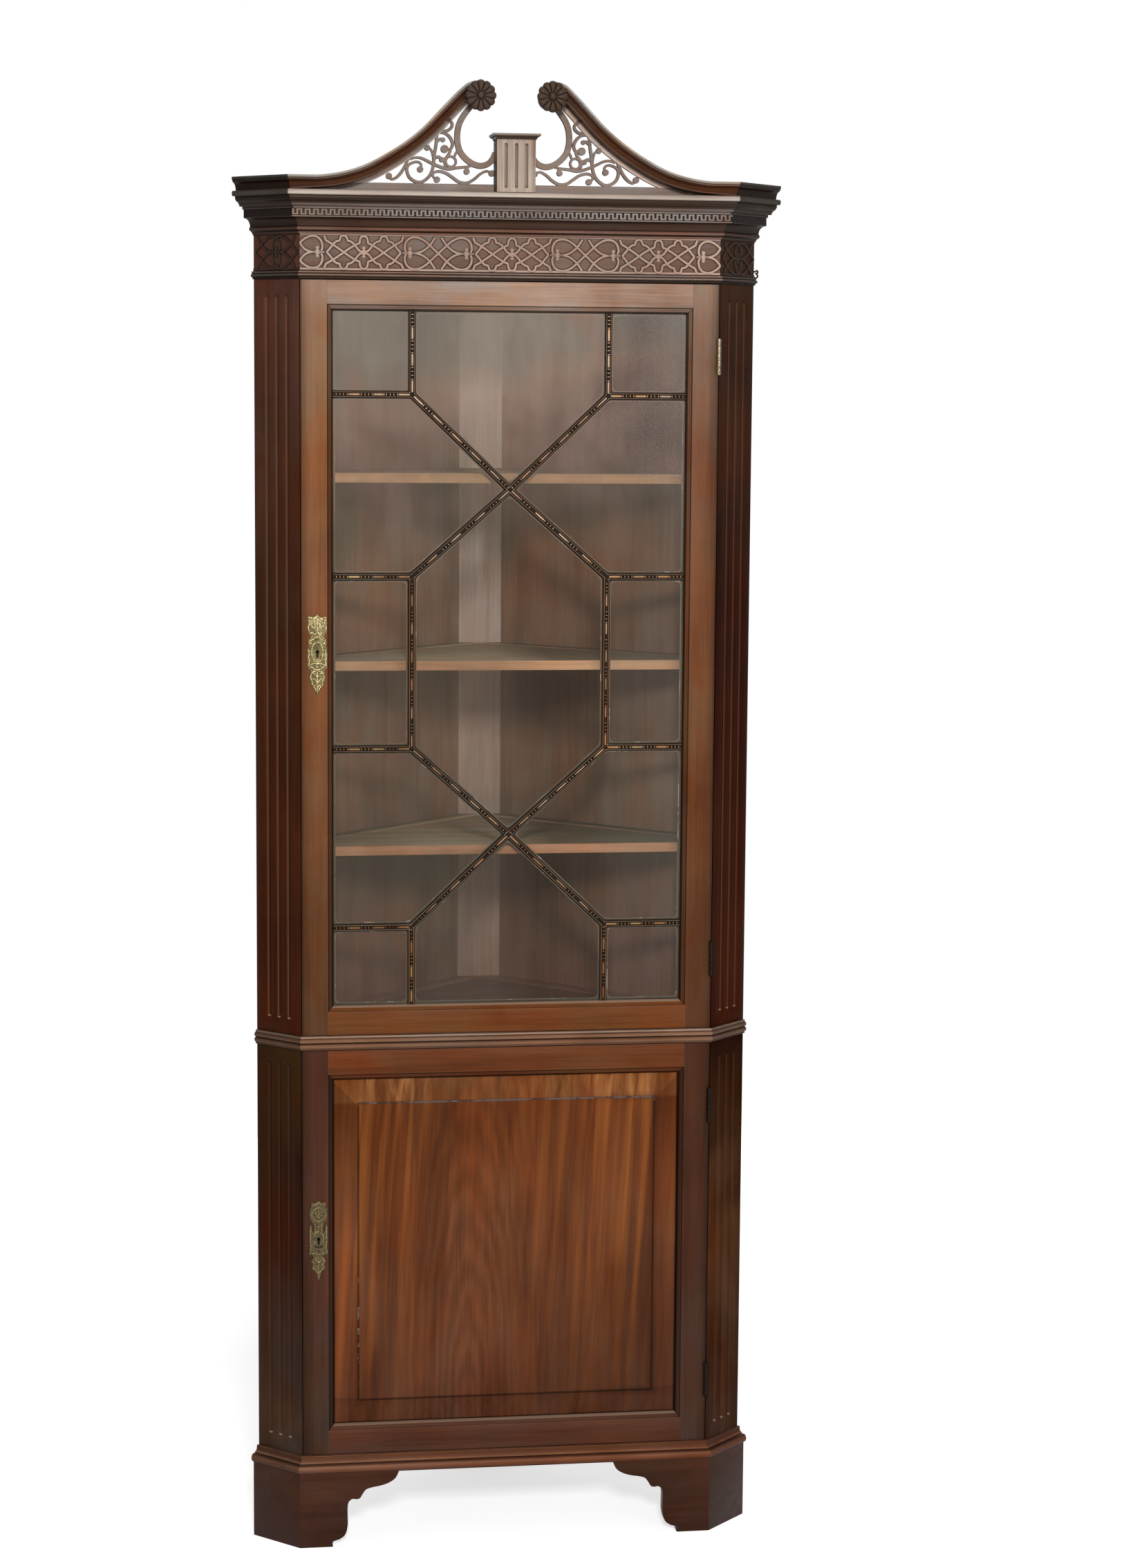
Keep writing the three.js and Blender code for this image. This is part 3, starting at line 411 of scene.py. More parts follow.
def shape_tree(name, sizes):
    """An empty shape tree with named number inputs; returns it with its start and end nodes."""
    tree = bpy.data.node_groups.new(name, "GeometryNodeTree")
    tree.interface.new_socket("Geometry", in_out="INPUT", socket_type="NodeSocketGeometry")
    for label, value in sizes.items():
        kind = {
            float: "NodeSocketFloat", int: "NodeSocketInt",
            bpy.types.Material: "NodeSocketMaterial", bpy.types.Object: "NodeSocketObject",
        }[type(value) if not isinstance(value, type) else value]
        socket = tree.interface.new_socket(label, in_out="INPUT", socket_type=kind)
        if isinstance(value, (int, float)):
            socket.default_value = value
    tree.interface.new_socket("Geometry", in_out="OUTPUT", socket_type="NodeSocketGeometry")
    return tree, tree.nodes.new("NodeGroupInput"), tree.nodes.new("NodeGroupOutput")


def strapwork_tree():
    """Raised straps of even section along drawn lines."""
    tree, start, end = shape_tree(
        "strapwork", {"Width": 2.9, "Depth": 3.4, "Round": 1.2, "Material": bpy.types.Material}
    )
    section = tree_node(
        tree, "GeometryNodeCurvePrimitiveQuadrilateral",
        {"Width": start.outputs["Width"], "Height": start.outputs["Depth"]},
    )
    rounded = tree_node(
        tree, "GeometryNodeFilletCurve",
        {"Curve": section.outputs[0], "Radius": start.outputs["Round"], "Count": 3}, mode="POLY",
    )
    rounded.inputs["Limit Radius"].default_value = True
    upright = tree_node(
        tree, "GeometryNodeSetCurveNormal", {"Curve": start.outputs["Geometry"]}, mode="Z_UP"
    )
    width = tree_node(tree, "GeometryNodeInputRadius")
    swept = tree_node(
        tree,
        "GeometryNodeCurveToMesh",
        {
            "Curve": upright.outputs[0], "Profile Curve": rounded.outputs[0],
            "Scale": width.outputs[0], "Fill Caps": True,
        },
    )
    coloured = tree_node(
        tree, "GeometryNodeSetMaterial",
        {"Geometry": swept.outputs[0], "Material": start.outputs["Material"]},
    )
    tree.links.new(coloured.outputs[0], end.inputs[0])
    return tree


def repeat_tree():
    """One small shape repeated at an even pitch along drawn lines, turned to follow them."""
    tree, start, end = shape_tree(
        "repeat", {"Pitch": 36.0, "Unit": bpy.types.Object, "Material": bpy.types.Material},
    )
    upright = tree_node(
        tree, "GeometryNodeSetCurveNormal", {"Curve": start.outputs["Geometry"]}, mode="Z_UP"
    )
    spaced = tree_node(
        tree, "GeometryNodeResampleCurve",
        {"Curve": upright.outputs[0], "Length": start.outputs["Pitch"]}, mode="LENGTH",
    )
    tangent = tree_node(tree, "GeometryNodeInputTangent")
    turned = tree_node(
        tree, "FunctionNodeAlignRotationToVector", {"Vector": tangent.outputs[0]}, axis="X",
        pivot_axis="Z",
    )
    last = tree_node(tree, "GeometryNodeCurveEndpointSelection", {"Start Size": 0, "End Size": 1})
    kept = tree_node(tree, "FunctionNodeBooleanMath", {0: last.outputs[0]}, operation="NOT")
    unit = tree_node(tree, "GeometryNodeObjectInfo", {"Object": start.outputs["Unit"]})
    laid = tree_node(
        tree,
        "GeometryNodeInstanceOnPoints",
        {
            "Points": spaced.outputs[0], "Selection": kept.outputs[0],
            "Instance": unit.outputs["Geometry"], "Rotation": turned.outputs[0],
        },
    )
    real = tree_node(tree, "GeometryNodeRealizeInstances", {0: laid.outputs[0]})
    coloured = tree_node(
        tree, "GeometryNodeSetMaterial",
        {"Geometry": real.outputs[0], "Material": start.outputs["Material"]},
    )
    tree.links.new(coloured.outputs[0], end.inputs[0])
    return tree


STRAPWORK = strapwork_tree()
REPEAT = repeat_tree()


def straps(lines, finish, width, depth, soft, stand):
    """Strapwork along drawn lines, stood up on its board."""
    mesh = grown(
        drawn_lines(lines), STRAPWORK, Width=width, Depth=depth, Round=soft, Material=finish
    )
    mesh.transform(stand)
    return mesh


def repeated(unit_mesh, lines, pitch, finish, stand):
    """A small unit repeated along drawn lines, stood up on its board."""
    unit = linked("unit", unit_mesh)
    mesh = grown(drawn_lines(lines), REPEAT, Pitch=pitch, Unit=unit, Material=finish)
    bpy.data.objects.remove(unit)
    mesh.transform(stand)
    return mesh


# ---------------------------------------------------------------- finishes


def tone(code):
    """A colour written as six hex digits, as the shader wants it."""
    shares = [int(code[k : k + 2], 16) / 255 for k in (0, 2, 4)]
    return (*[s / 12.92 if s <= 0.04045 else ((s + 0.055) / 1.055) ** 2.4 for s in shares], 1.0)


def new_finish(name):
    """A material with its tree, its shader and its object coordinates."""
    material = bpy.data.materials.new(name)
    material.use_nodes = True
    tree = material.node_tree
    shader = tree.nodes["Principled BSDF"]
    coordinates = tree.nodes.new("ShaderNodeTexCoord").outputs["Object"]
    return material, tree, shader, coordinates


def speckle(tree, vector, scale, detail=3.0, roughness=0.55, distortion=0.0):
    """Soft noise, from 0 to 1."""
    return tree_node(
        tree,
        "ShaderNodeTexNoise",
        {
            "Vector": vector, "Scale": scale, "Detail": detail, "Roughness": roughness,
            "Distortion": distortion,
        },
    ).outputs["Fac"]


def ramp(tree, value, stops):
    """A colour ramp from pairs of place and colour, in rising order."""
    made = tree_node(tree, "ShaderNodeValToRGB", {"Fac": value})
    elements = made.color_ramp.elements
    elements.remove(elements[1])
    elements[0].position, elements[0].color = stops[0]
    for place, colour in stops[1:]:
        elements.new(place).color = colour
    return made.outputs["Color"]


def ranged(tree, value, low, high, to_low, to_high):
    """A value carried from one range to another, and held at its ends."""
    return tree_node(
        tree, "ShaderNodeMapRange",
        {"Value": value, "From Min": low, "From Max": high, "To Min": to_low, "To Max": to_high},
    ).outputs["Result"]


def weighed(tree, parts, offset):
    """offset plus each value times its weight."""
    total = offset
    for value, weight in parts:
        total = maths(tree, "MULTIPLY_ADD", value, weight, total)
    return total


def times(tree, a, b):
    """Two colours multiplied."""
    return tree_node(tree, "ShaderNodeVectorMath", {0: a, 1: b}, operation="MULTIPLY").outputs[0]


def scaled(tree, colour, share):
    """A colour made lighter or darker."""
    return tree_node(
        tree, "ShaderNodeVectorMath", {0: colour, "Scale": share}, operation="SCALE"
    ).outputs[0]


def mixed(tree, share, first, second):
    """One colour going over to another by a share."""
    made = tree_node(tree, "ShaderNodeMix", {0: share, 6: first, 7: second}, data_type="RGBA")
    return made.outputs[2]


def maths(tree, operation, *values):
    """One sum on numbers."""
    made = tree_node(tree, "ShaderNodeMath", dict(enumerate(values)), operation=operation)
    return made.outputs[0]


def product(tree, a, b):
    """Two numbers multiplied."""
    return maths(tree, "MULTIPLY", a, b)


def axes(tree, vector):
    """A vector's X, Y and Z."""
    return tree_node(tree, "ShaderNodeSeparateXYZ", {0: vector}).outputs


def across_middle(tree, coordinates):
    """Distance from the middle of the cupboard."""
    return maths(tree, "ABSOLUTE", axes(tree, coordinates)["X"])


def past_mitre(tree, coordinates):
    """0 on the front of the case and 1 on its cants."""
    line = weighed(
        tree,
        [(across_middle(tree, coordinates), 1.0), (axes(tree, coordinates)["Y"], MITRE_SHARE)],
        -MITRE_SHARE * CASE_FRONT - FRONT_HALF * MM,
    )
    return ranged(tree, line, -0.0003, 0.0003, 0, 1)


def stretched(tree, vector, across, along):
    """Coordinates drawn out along the grain."""
    return tree_node(
        tree, "ShaderNodeVectorMath", {0: vector, 1: (across, across, along)}, operation="MULTIPLY",
    ).outputs[0]


GRAIN_TURN = {"up": (0, 0, 0), "across": (0, math.pi / 2, 0), "back": (math.pi / 2, 0, 0)}
# Pale colour of dusty tops and of wear on edges, also laid on as a painted highlight.
DUST_WEAR_HIGHLIGHT_TONE = "a3978c"


def timber(
    name, tones, grain="up", seed=0, measure=None, figure=0.3, streak=0.35, cloud=0.4, flame=0.3,
    gloss=(0.34, 0.52), shine=0.1, grime_and_shade=0.0, grime_and_shade_reach=6.0, dust_and_highlight=0.0, worn_and_highlight=0.0, cants=1.0,
    drift=None, waver=0.35, stain_and_painted_light=None,
):
    """Polished mahogany. tones gives colours by height, or by an attribute named in measure.

    drift is how much redder, greener and bluer the left end is than the right one.
    """
    material, tree, shader, coordinates = new_finish(name)
    board = tree_node(
        tree,
        "ShaderNodeMapping",
        {
            "Vector": coordinates, "Location": (0.37 * seed, 0.61 * seed, 0.83 * seed),
            "Rotation": GRAIN_TURN[grain],
        },
    ).outputs[0]
    ribbon = speckle(tree, stretched(tree, board, 1, 0.08), 24, 3, 0.5, 0.6)
    bands = speckle(tree, stretched(tree, board, 1, 0.03), 120, 4, 0.6, 0.2)
    lines = speckle(tree, stretched(tree, board, 1, 0.02), 520, 3, 0.6, 0.1)
    blotch = speckle(tree, board, 6, 4, 0.55, 0.5)
    warmth = speckle(tree, stretched(tree, board, 1, 0.4), 15, 4, 0.6, 0.4)
    shade = weighed(
        tree,
        [(ribbon, 2.2 * figure), (bands, 1.4 * streak), (lines, 1.2 * streak), (blotch, 2 * cloud)],
        0.5 - 1.1 * figure - 1.3 * streak - cloud,
    )
    variation = ramp(
        tree,
        shade,
        [
            (0.0, (0.50, 0.42, 0.37, 1)), (0.30, (0.80, 0.75, 0.71, 1)), (0.5, (1, 1, 1, 1)),
            (0.72, (1.20, 1.23, 1.22, 1)), (1.0, (1.55, 1.62, 1.60, 1)),
        ],
    )
    variation = times(
        tree,
        variation,
        mixed(
            tree, ranged(tree, warmth, 0.38, 0.62, 0.5 - flame, 0.5 + flame),
            (0.97, 1.12, 1.24, 1), (1.03, 0.88, 0.76, 1),
        ),
    )
    if len(tones) > 1:
        if measure:
            level = tree_node(tree, "ShaderNodeAttribute", attribute_name=measure).outputs["Fac"]
            unit = 1.0
        else:
            level, unit = axes(tree, coordinates)["Z"], MM
        jitter = speckle(tree, stretched(tree, board, 1, 0.3), 300, 3, 0.6)
        level = weighed(tree, [(jitter, 4 * waver * unit), (level, 1.0)], -2 * waver * unit)
        bottom, top = tones[0][0], tones[-1][0]
        share = ranged(tree, level, bottom * unit, top * unit, 0, 1)
        base = ramp(tree, share, [((z - bottom) / (top - bottom), tone(code)) for z, code in tones])
        colour = times(tree, base, variation)
    else:
        colour = times(tree, variation, tone(tones[0][1])[:3])
    if cants != 1.0:
        colour = scaled(tree, colour, ranged(tree, past_mitre(tree, coordinates), 0, 1, 1, cants))
    if drift:
        aside = ranged(tree, axes(tree, coordinates)["X"], -0.3, 0.3, 0, 1)
        colour = mixed(
            tree, aside, times(tree, colour, tuple(1 + share for share in drift)),
            times(tree, colour, tuple(1 - share for share in drift)),
        )
    # A pattern laid over the colour: some are real stains and wear, and some paint light and shade.
    if stain_and_painted_light:
        colour = stain_and_painted_light(tree, coordinates, colour)
    # Rounded arrises go pale: wear, and a painted highlight along the edges.
    if worn_and_highlight:
        softened = tree_node(tree, "ShaderNodeBevel", {"Radius": 1.3 * MM}, samples=4).outputs[0]
        surface = tree.nodes.new("ShaderNodeNewGeometry").outputs["Normal"]
        likeness = tree_node(
            tree, "ShaderNodeVectorMath", {0: softened, 1: surface}, operation="DOT_PRODUCT"
        ).outputs["Value"]
        highlit_and_rubbed = product(
            tree, ranged(tree, likeness, 0.99, 0.86, 0, worn_and_highlight),
            ranged(tree, blotch, 0.35, 0.6, 0.4, 1)
        )
        colour = mixed(tree, highlit_and_rubbed, colour, tone(DUST_WEAR_HIGHLIGHT_TONE))
    # Upward faces go pale: dusty tops, and a painted highlight where light falls from above.
    if dust_and_highlight:
        upward = axes(tree, tree.nodes.new("ShaderNodeNewGeometry").outputs["Normal"])["Z"]
        settled = product(
            tree, ranged(tree, upward, 0.45, 0.9, 0, dust_and_highlight), ranged(tree, bands, 0.3, 0.6, 0.7, 1)
        )
        colour = mixed(tree, settled, colour, tone(DUST_WEAR_HIGHLIGHT_TONE))
    # Hollows found by ambient occlusion are darkened: soiling there, and painted shade in recesses
    # and beside raised work.
    if grime_and_shade:
        hollow = tree_node(
            tree, "ShaderNodeAmbientOcclusion", {"Distance": grime_and_shade_reach * MM}, samples=8
        ).outputs["AO"]
        colour = scaled(tree, colour, ranged(tree, hollow, 0.25, 0.9, 1 - grime_and_shade, 1.0))
    tree.links.new(colour, shader.inputs["Base Color"])
    rough = ranged(tree, weighed(tree, [(bands, 0.5), (blotch, 0.5)], 0.0), 0.38, 0.62, *gloss)
    tree.links.new(rough, shader.inputs["Roughness"])
    shader.inputs["Specular IOR Level"].default_value = shine
    shader.inputs["Specular Tint"].default_value = (1.0, 0.78, 0.62, 1)
    relief = weighed(tree, [(lines, 0.6), (bands, 0.6)], 0.0)
    uneven = tree_node(
        tree, "ShaderNodeBump", {"Height": relief, "Strength": 0.2, "Distance": 0.0004},
    ).outputs[0]
    tree.links.new(uneven, shader.inputs["Normal"])
    return material


def old_metal(
    name, bright, dull, dark, metallic=0.85, rough=(0.3, 0.5), pitch=420, shine=0.5, stain_and_painted_light=None,
):
    """Worn cast metal, bright on what stands out and dark in its hollows."""
    material, tree, shader, coordinates = new_finish(name)
    patches = speckle(tree, coordinates, pitch, 4, 0.6, 0.3)
    fine = speckle(tree, coordinates, pitch * 5, 2, 0.5)
    colour = ramp(tree, patches, [(0.3, tone(dark)), (0.47, tone(dull)), (0.62, tone(bright))])
    hollow = tree_node(
        tree, "ShaderNodeAmbientOcclusion", {"Distance": 2.2 * MM}, samples=8
    ).outputs["AO"]
    colour = scaled(tree, colour, ranged(tree, hollow, 0.3, 0.9, 0.4, 1.0))
    if stain_and_painted_light:
        colour = stain_and_painted_light(tree, coordinates, colour)
    tree.links.new(colour, shader.inputs["Base Color"])
    shader.inputs["Metallic"].default_value = metallic
    shader.inputs["Specular IOR Level"].default_value = shine
    tree.links.new(
        ranged(tree, patches, 0.35, 0.65, rough[1], rough[0]), shader.inputs["Roughness"]
    )
    uneven = tree_node(
        tree, "ShaderNodeBump", {"Height": fine, "Strength": 0.25, "Distance": 0.0003}
    ).outputs[0]
    tree.links.new(uneven, shader.inputs["Normal"])
    return material


# Colours of the film up the glass, for the dusty film and a painted reflection.
FILM_AND_REFLECTION_TONES = [
    (0.0, "75655a"), (0.16, "6a6052"), (0.30, "5e5a4a"), (0.40, "6e6050"), (0.52, "665c4e"),
    (0.62, "5c5848"), (0.70, "7a6a5a"), (0.78, "8e766a"), (0.86, "9a8272"), (0.93, "8d8274"),
    (1.0, "908677"),
]
FILM_BY_HEIGHT = [
    (0.0, 0.17), (0.18, 0.19), (0.36, 0.20), (0.50, 0.18), (0.62, 0.19), (0.72, 0.26),
    (0.82, 0.36), (1.0, 0.50),
]


FILM_BY_WIDTH = [(-281, 0.5), (-120, 0.5), (-40, 0.8), (130, 0.74), (200, 0.16), (281, 0.3)]


def old_glass(name):
    """Thin old glass: nearly clear, with a warm, dusty film that is thickest near the top; the
    film's colour also paints a reflection.
    """
    material, tree, shader, coordinates = new_finish(name)
    film = speckle(tree, coordinates, 5, 3, 0.5, 0.4)
    rubs = speckle(tree, stretched(tree, coordinates, 1, 0.2), 34, 4, 0.7, 0.4)
    place = axes(tree, coordinates)
    level = weighed(tree, [(film, 0.6), (place["Z"], 1.0), (place["X"], -0.1)], -0.3)
    colour = ramp(
        tree, ranged(tree, level, 0.85, 1.96, 0, 1), [(z, tone(code)) for z, code in FILM_AND_REFLECTION_TONES],
    )
    bright = ramp(
        tree, ranged(tree, place["X"], -0.281, 0.281, 0, 1),
        [((x + 281) / 562, (s, s, s, 1)) for x, s in FILM_BY_WIDTH],
    )
    bright = product(
        tree, weighed(tree, [(bright, 1.0)], -0.5), ranged(tree, place["Z"], 1.66, 1.74, 0, 1)
    )
    colour = scaled(tree, colour, weighed(tree, [(bright, 1.0)], 1.0))
    tree.links.new(colour, shader.inputs["Base Color"])
    cover = ranged(tree, weighed(tree, [(film, 0.4), (rubs, 0.6)], 0.0), 0.35, 0.65, 0.75, 1.15)
    height = ramp(
        tree, ranged(
            tree, weighed(tree, [(film, 0.3), (place["Z"], 1.0)], -0.15), 0.85, 1.96, 0, 1
        ),
        [(z, (share, share, share, 1)) for z, share in FILM_BY_HEIGHT],
    )
    clear = product(
        tree, ranged(tree, place["X"], -0.03, 0.05, 0, 0.45),
        ranged(tree, place["Z"], 1.66, 1.56, 0, 1)
    )
    clear = product(tree, clear, ranged(tree, place["X"], 0.14, 0.17, 1, 0.3))
    cover = product(tree, cover, weighed(tree, [(clear, -1.0)], 1.0))
    tree.links.new(product(tree, cover, height), shader.inputs["Alpha"])
    shader.inputs["Roughness"].default_value = 0.15
    shader.inputs["Specular IOR Level"].default_value = 0.4
    waves = speckle(tree, stretched(tree, coordinates, 1, 0.4), 7, 2, 0.5)
    uneven = tree_node(
        tree, "ShaderNodeBump", {"Height": waves, "Strength": 0.3, "Distance": 0.002}
    ).outputs[0]
    tree.links.new(uneven, shader.inputs["Normal"])
    return material


# ---------------------------------------------------------------- case


def capsule(x, y, bottom, top, radius, sides=20, rounds=5):
    """A rod with round ends, standing upright: the shape a flute is cut with."""
    rings = []
    for low in (True, False):
        for k in range(rounds + 1):
            tilt = math.pi / 2 * (k / rounds if low else 1 - k / rounds)
            z = bottom + radius - radius * math.cos(tilt) if low else (
                top - radius + radius * math.cos(tilt)
            )
            reach = max(radius * math.sin(tilt), 0.02)
            rings.append(
                [
                    (
                        x + reach * math.cos(2 * math.pi * j / sides),
                        y + reach * math.sin(2 * math.pi * j / sides), z,
                    )
                    for j in range(sides)
                ]
            )
    return skin(*loft(rings))


def pilaster(stage, side, bottom, top, flute_bottom, flute_top, finish):
    """A canted pilaster with three stopped flutes, cut for the lock bolt or the hinge leaves."""
    end_x, end_y = cant_point(CANT_WIDTH, 0)
    inset = PILASTER_THICK * ROOT_HALF
    inner = PILASTER_THICK * math.sqrt(2)
    plan = [(FRONT_HALF, 0), (end_x, end_y), (end_x - inset, end_y + inset), (FRONT_HALF, inner)]
    board = skin(*loft([[(side * x, y, z) for x, y in plan] for z in (bottom, top)]))
    cutters = []
    for share in FLUTE_PLACES:
        x, y = cant_point(share * CANT_WIDTH, 1.0)
        cutters.append(capsule(side * x, y, flute_bottom, flute_top, FLUTE_RADIUS))
    levels = DOOR_LEVELS[stage]
    if side > 0:
        for z in levels["hinges"]:
            cutters.append(block(*HINGE_RECESS, z - HINGE_HALF, z + HINGE_HALF))
    else:
        z = levels["lock"]
        cutters.append(block(*BOLT_MORTISE, z - BOLT_HALF, z + BOLT_HALF))
    mesh = carved(closed(board), [closed(cutter) for cutter in cutters])
    name = f"{stage}_pilaster_{'right' if side > 0 else 'left'}"
    piece = settle(name + "_fluted", mesh, finish, ease=0.45, ease_over=55, crease=35)
    return fit(piece, "cabinet", "pilaster_wood", name)


def moulding(name, node, section, bottom, slot, finish):
    """A moulding mitred round the front and the cants."""
    rings = []
    for station in range(4):
        rings.append([(*case_line(out)[station], bottom + up) for out, up in section])
    piece = settle(name, skin(*loft(rings)), finish, crease=32)
    return fit(piece, "cabinet", slot, node)


WAIST_SECTION = profile(
    (0.3, 0), (3.0, 0), (3.25, 0.25), (3.25, 3), (3.25, 10.8, 0.8), (3.1, 11), (3.25, 11.2),
    (3.25, 19, 0.8), (3.25, 21.7), (2.9, 22), (0.3, 22), arc_steps=10,
)
NECKING_SECTION = profile(
    (0.3, 0), (3.1, 0), (3.1, 2.5), (4.6, 3.0), (4.6, 7.8, 0.98), (4.1, 8.2), (4.1, 8.8),
    (5.0, 9.4, 0.3), (3.4, 12, 0.2), (0.3, 12), arc_steps=8,
)
CORNICE_SECTION = profile(
    (0.3, 0), (3.3, 0), (3.3, 2.4), (4.4, 2.9), (7.4, 4.8, -0.2), (8.1, 5.0), (8.2, 10.8, 0.58),
    (7.8, 11.4), (7.8, 12.6), (20.6, 23.4, -0.38), (22, 23.6), (22, 36), (24.9, 36.2),
    (24.9, 39.8), (25.3, 40.2), (31.4, 40.3), (31.6, 42.8), (32.6, 43.2), (36.2, 46.8, -0.25),
    (39.9, 50.4, 0.25), (40.9, 50.9), (40.9, 55), (0.3, 55), arc_steps=8,
)
BASE_SECTION = profile(
    (0.3, 0), (13, 0), (13.2, 1.5), (15.2, 2.0), (15.2, 13.9, 0.45), (14.4, 14.5), (9.4, 14.8),
    (9.2, 16.6), (5.3, 21.0, -0.36), (5.0, 21.5), (5.0, 25.2), (4.2, 26), (0.3, 26), arc_steps=8,
)


# ---------------------------------------------------------------- frieze

FRIEZE_MIDDLE = 2018.5
FRIEZE_HALF = 24.5
OVAL_REACH = 43.0
# Lines of the carving as shares of a half unit's length and of half the frieze's height
LONG_UNIT = [
    [
        (0.136, 1.0), (0.158, 0.90), (0.182, 0.72), (0.25, 0.60), (0.332, 0.46), (0.45, 0.24),
        (0.57, 0), (0.69, -0.24), (0.81, -0.44), (0.86, -0.51), (0.898, -0.54), (0.91, -0.60),
        (0.916, -0.74), (0.935, -0.90), (0.97, -0.98), (1.0, -1.0),
    ],
    [
        (0.196, 0), (0.26, 0.2), (0.332, 0.46), (0.37, 0.58), (0.41, 0.66), (0.452, 0.69),
        (0.476, 0.71), (0.484, 0.80), (0.50, 0.93), (0.53, 1.0), (0.56, 1.02), (0.59, 1.0),
        (0.625, 0.93), (0.642, 0.80), (0.652, 0.71), (0.68, 0.69), (0.74, 0.62), (0.81, 0.44),
        (0.86, 0.24), (0.92, 0.08), (1.0, 0.02),
    ],
]
OVAL_SIDE = [
    (0.57, 0.69), (0.395, 0.88), (0.22, 0.97), (0.05, 0.94), (-0.075, 0.81), (-0.16, 0.58),
    (-0.185, 0.28), (-0.14, 0.08),
]
OVAL_TAIL = [(0.49, 0.18), (0.27, 0.02), (0, 0), (-0.27, 0)]
OVAL_UNIT = [
    [(1, 0), (0.865, 0.22), (0.70, 0.49), *OVAL_SIDE],
    [(0.89, 0.97), (0.79, 0.70), (0.69, 0.47), *OVAL_TAIL],
]
CLOSED_OVAL = [[(0.66, 0.52), *OVAL_SIDE], [(0.66, 0.52), *OVAL_TAIL]]


def half_unit(lines, start, direction, length):
    """A half unit's lines and their mirror images, laid from start along the frieze."""
    return [
        [(start + direction * u * length, FRIEZE_MIDDLE + flip * v * FRIEZE_HALF) for u, v in line]
        for line in lines
        for flip in (1, -1)
    ]


def clover(middle):
    """Small leaves over a round bud where two ovals meet."""
    leaves = [(0, 6.6, 3.3), (0, 4.0, 2.6), (0, -5.8, 3.2), (0, -3.2, 2.6), (0, 0, 4.6)]
    return [(middle + x, FRIEZE_MIDDLE + y, radius) for x, y, radius in leaves]


def boss(x, y, radius, rise, sides=14, rounds=4):
    """A low round boss on the drawing plane."""
    rings = []
    for k in range(rounds + 1):
        tilt = math.pi / 2 * k / rounds
        reach = max(radius * math.cos(tilt), 0.05)
        rings.append(
            [
                Vector(
                    (
                        x + reach * math.cos(2 * math.pi * j / sides),
                        y + reach * math.sin(2 * math.pi * j / sides), rise * math.sin(tilt),
                    )
                )
                for j in range(sides)
            ]
        )
    rings.insert(0, [Vector((p.x, p.y, -0.6)) for p in rings[0]])
    return skin(*loft(rings), placed=True)


def carving(name, lines, clovers, borders, stand, finish):
    """Blind fretwork on one face of the frieze, with its borders, its clovers and a dark, dirty
    band under the straps that also paints their shade.
    """
    smooth = [[tuple(p) for p in evenly(spline(line, 6), 4 * len(line))] for line in lines]
    # A dark band under the straps paints the shade round them.
    shade_and_dirt = straps(smooth, fret_shade_and_dirt, 6.0, 0.9, 0.35, stand)
    fit(settle(name + "_dirt", shade_and_dirt, fret_shade_and_dirt, crease=50), "cabinet", "frieze_wood")
    parts = [straps(smooth, finish, 3.6, 5.4, 1.4, stand)]
    for level, width in ((FRIEZE_BOTTOM + 2.2, 3.6), (CORNICE_BOTTOM - 1.2, 2.0)):
        parts.append(straps([[(x, level) for x in borders]], finish, width, 3.0, 0.6, stand))
    for x, y, radius in clovers:
        leaf = boss(x, y, radius, 3.1)
        leaf.transform(stand)
        parts.append(leaf)
    piece = settle(name, merged(*parts), finish, crease=50)
    return fit(piece, "cabinet", "frieze_wood")


def frieze(front_finish, cant_finish):
    """The frieze's carving on the front and on both cants."""
    lines, clovers = [], []
    for side in (1, -1):
        lines += half_unit(LONG_UNIT, side * 69.5, -side, 69.5)
        lines += half_unit(OVAL_UNIT, side * 69.5, side, OVAL_REACH)
        lines += half_unit(OVAL_UNIT, side * 155.5, -side, OVAL_REACH)
        lines += half_unit(LONG_UNIT, side * 155.5, side, 69.8)
        lines += half_unit(LONG_UNIT, side * 295, -side, 69.7)
        lines += half_unit(CLOSED_OVAL, side * 295, side, 40)
        for middle in (69.5, 155.5, 225.3, 295):
            clovers += clover(side * middle)
    clovers += clover(0)
    edge = FRONT_HALF - 0.4
    carving("frieze_fret_front", lines, clovers, (-edge, 0, edge), on_front(), front_finish)
    for side, label in ((-1, "left"), (1, "right")):
        middle = CANT_WIDTH / 2
        lines = half_unit(OVAL_UNIT, middle, 1, OVAL_REACH)
        lines += half_unit(OVAL_UNIT, middle, -1, OVAL_REACH)
        carving(
            f"frieze_fret_{label}_cant", lines, clover(middle), (0.4, middle, CANT_WIDTH - 0.4),
            on_cant(side=side), cant_finish,
        )


KEY_PITCH = 12.4
KEY_COUNT = 54


def key_band(finish):
    """The band of small keys under the cornice, one unit repeated along its board."""
    bars = [
        (0.7, 3.5, 2.4, 11.6), (3.4, 7.1, 2.4, 4.6), (7.0, 9.8, 2.4, 11.6), (9.7, 13.2, 9.2, 11.6),
        (-0.01, KEY_PITCH + 0.01, -0.2, 1.3),
    ]
    parts = []
    for x0, x1, y0, y1 in bars:
        rings = [
            [
                Vector((x0 + cut, y0 + cut, z)), Vector((x1 - cut, y0 + cut, z)),
                Vector((x1 - cut, y1 - cut, z)), Vector((x0 + cut, y1 - cut, z)),
            ]
            for cut, z in ((0, -0.5), (0, 1.6), (0.35, 2.0))
        ]
        parts.append(skin(*loft(rings), placed=True))
    start = -KEY_PITCH * KEY_COUNT / 2
    level = CORNICE_BOTTOM + 23.9
    mesh = repeated(
        merged(*parts), [[(start, level), (-start, level)]], KEY_PITCH, finish,
        on_front(-KEY_FACE_OUT),
    )
    return fit(settle("key_band", mesh, finish), "cabinet", "faded_wood")


# ---------------------------------------------------------------- pediment

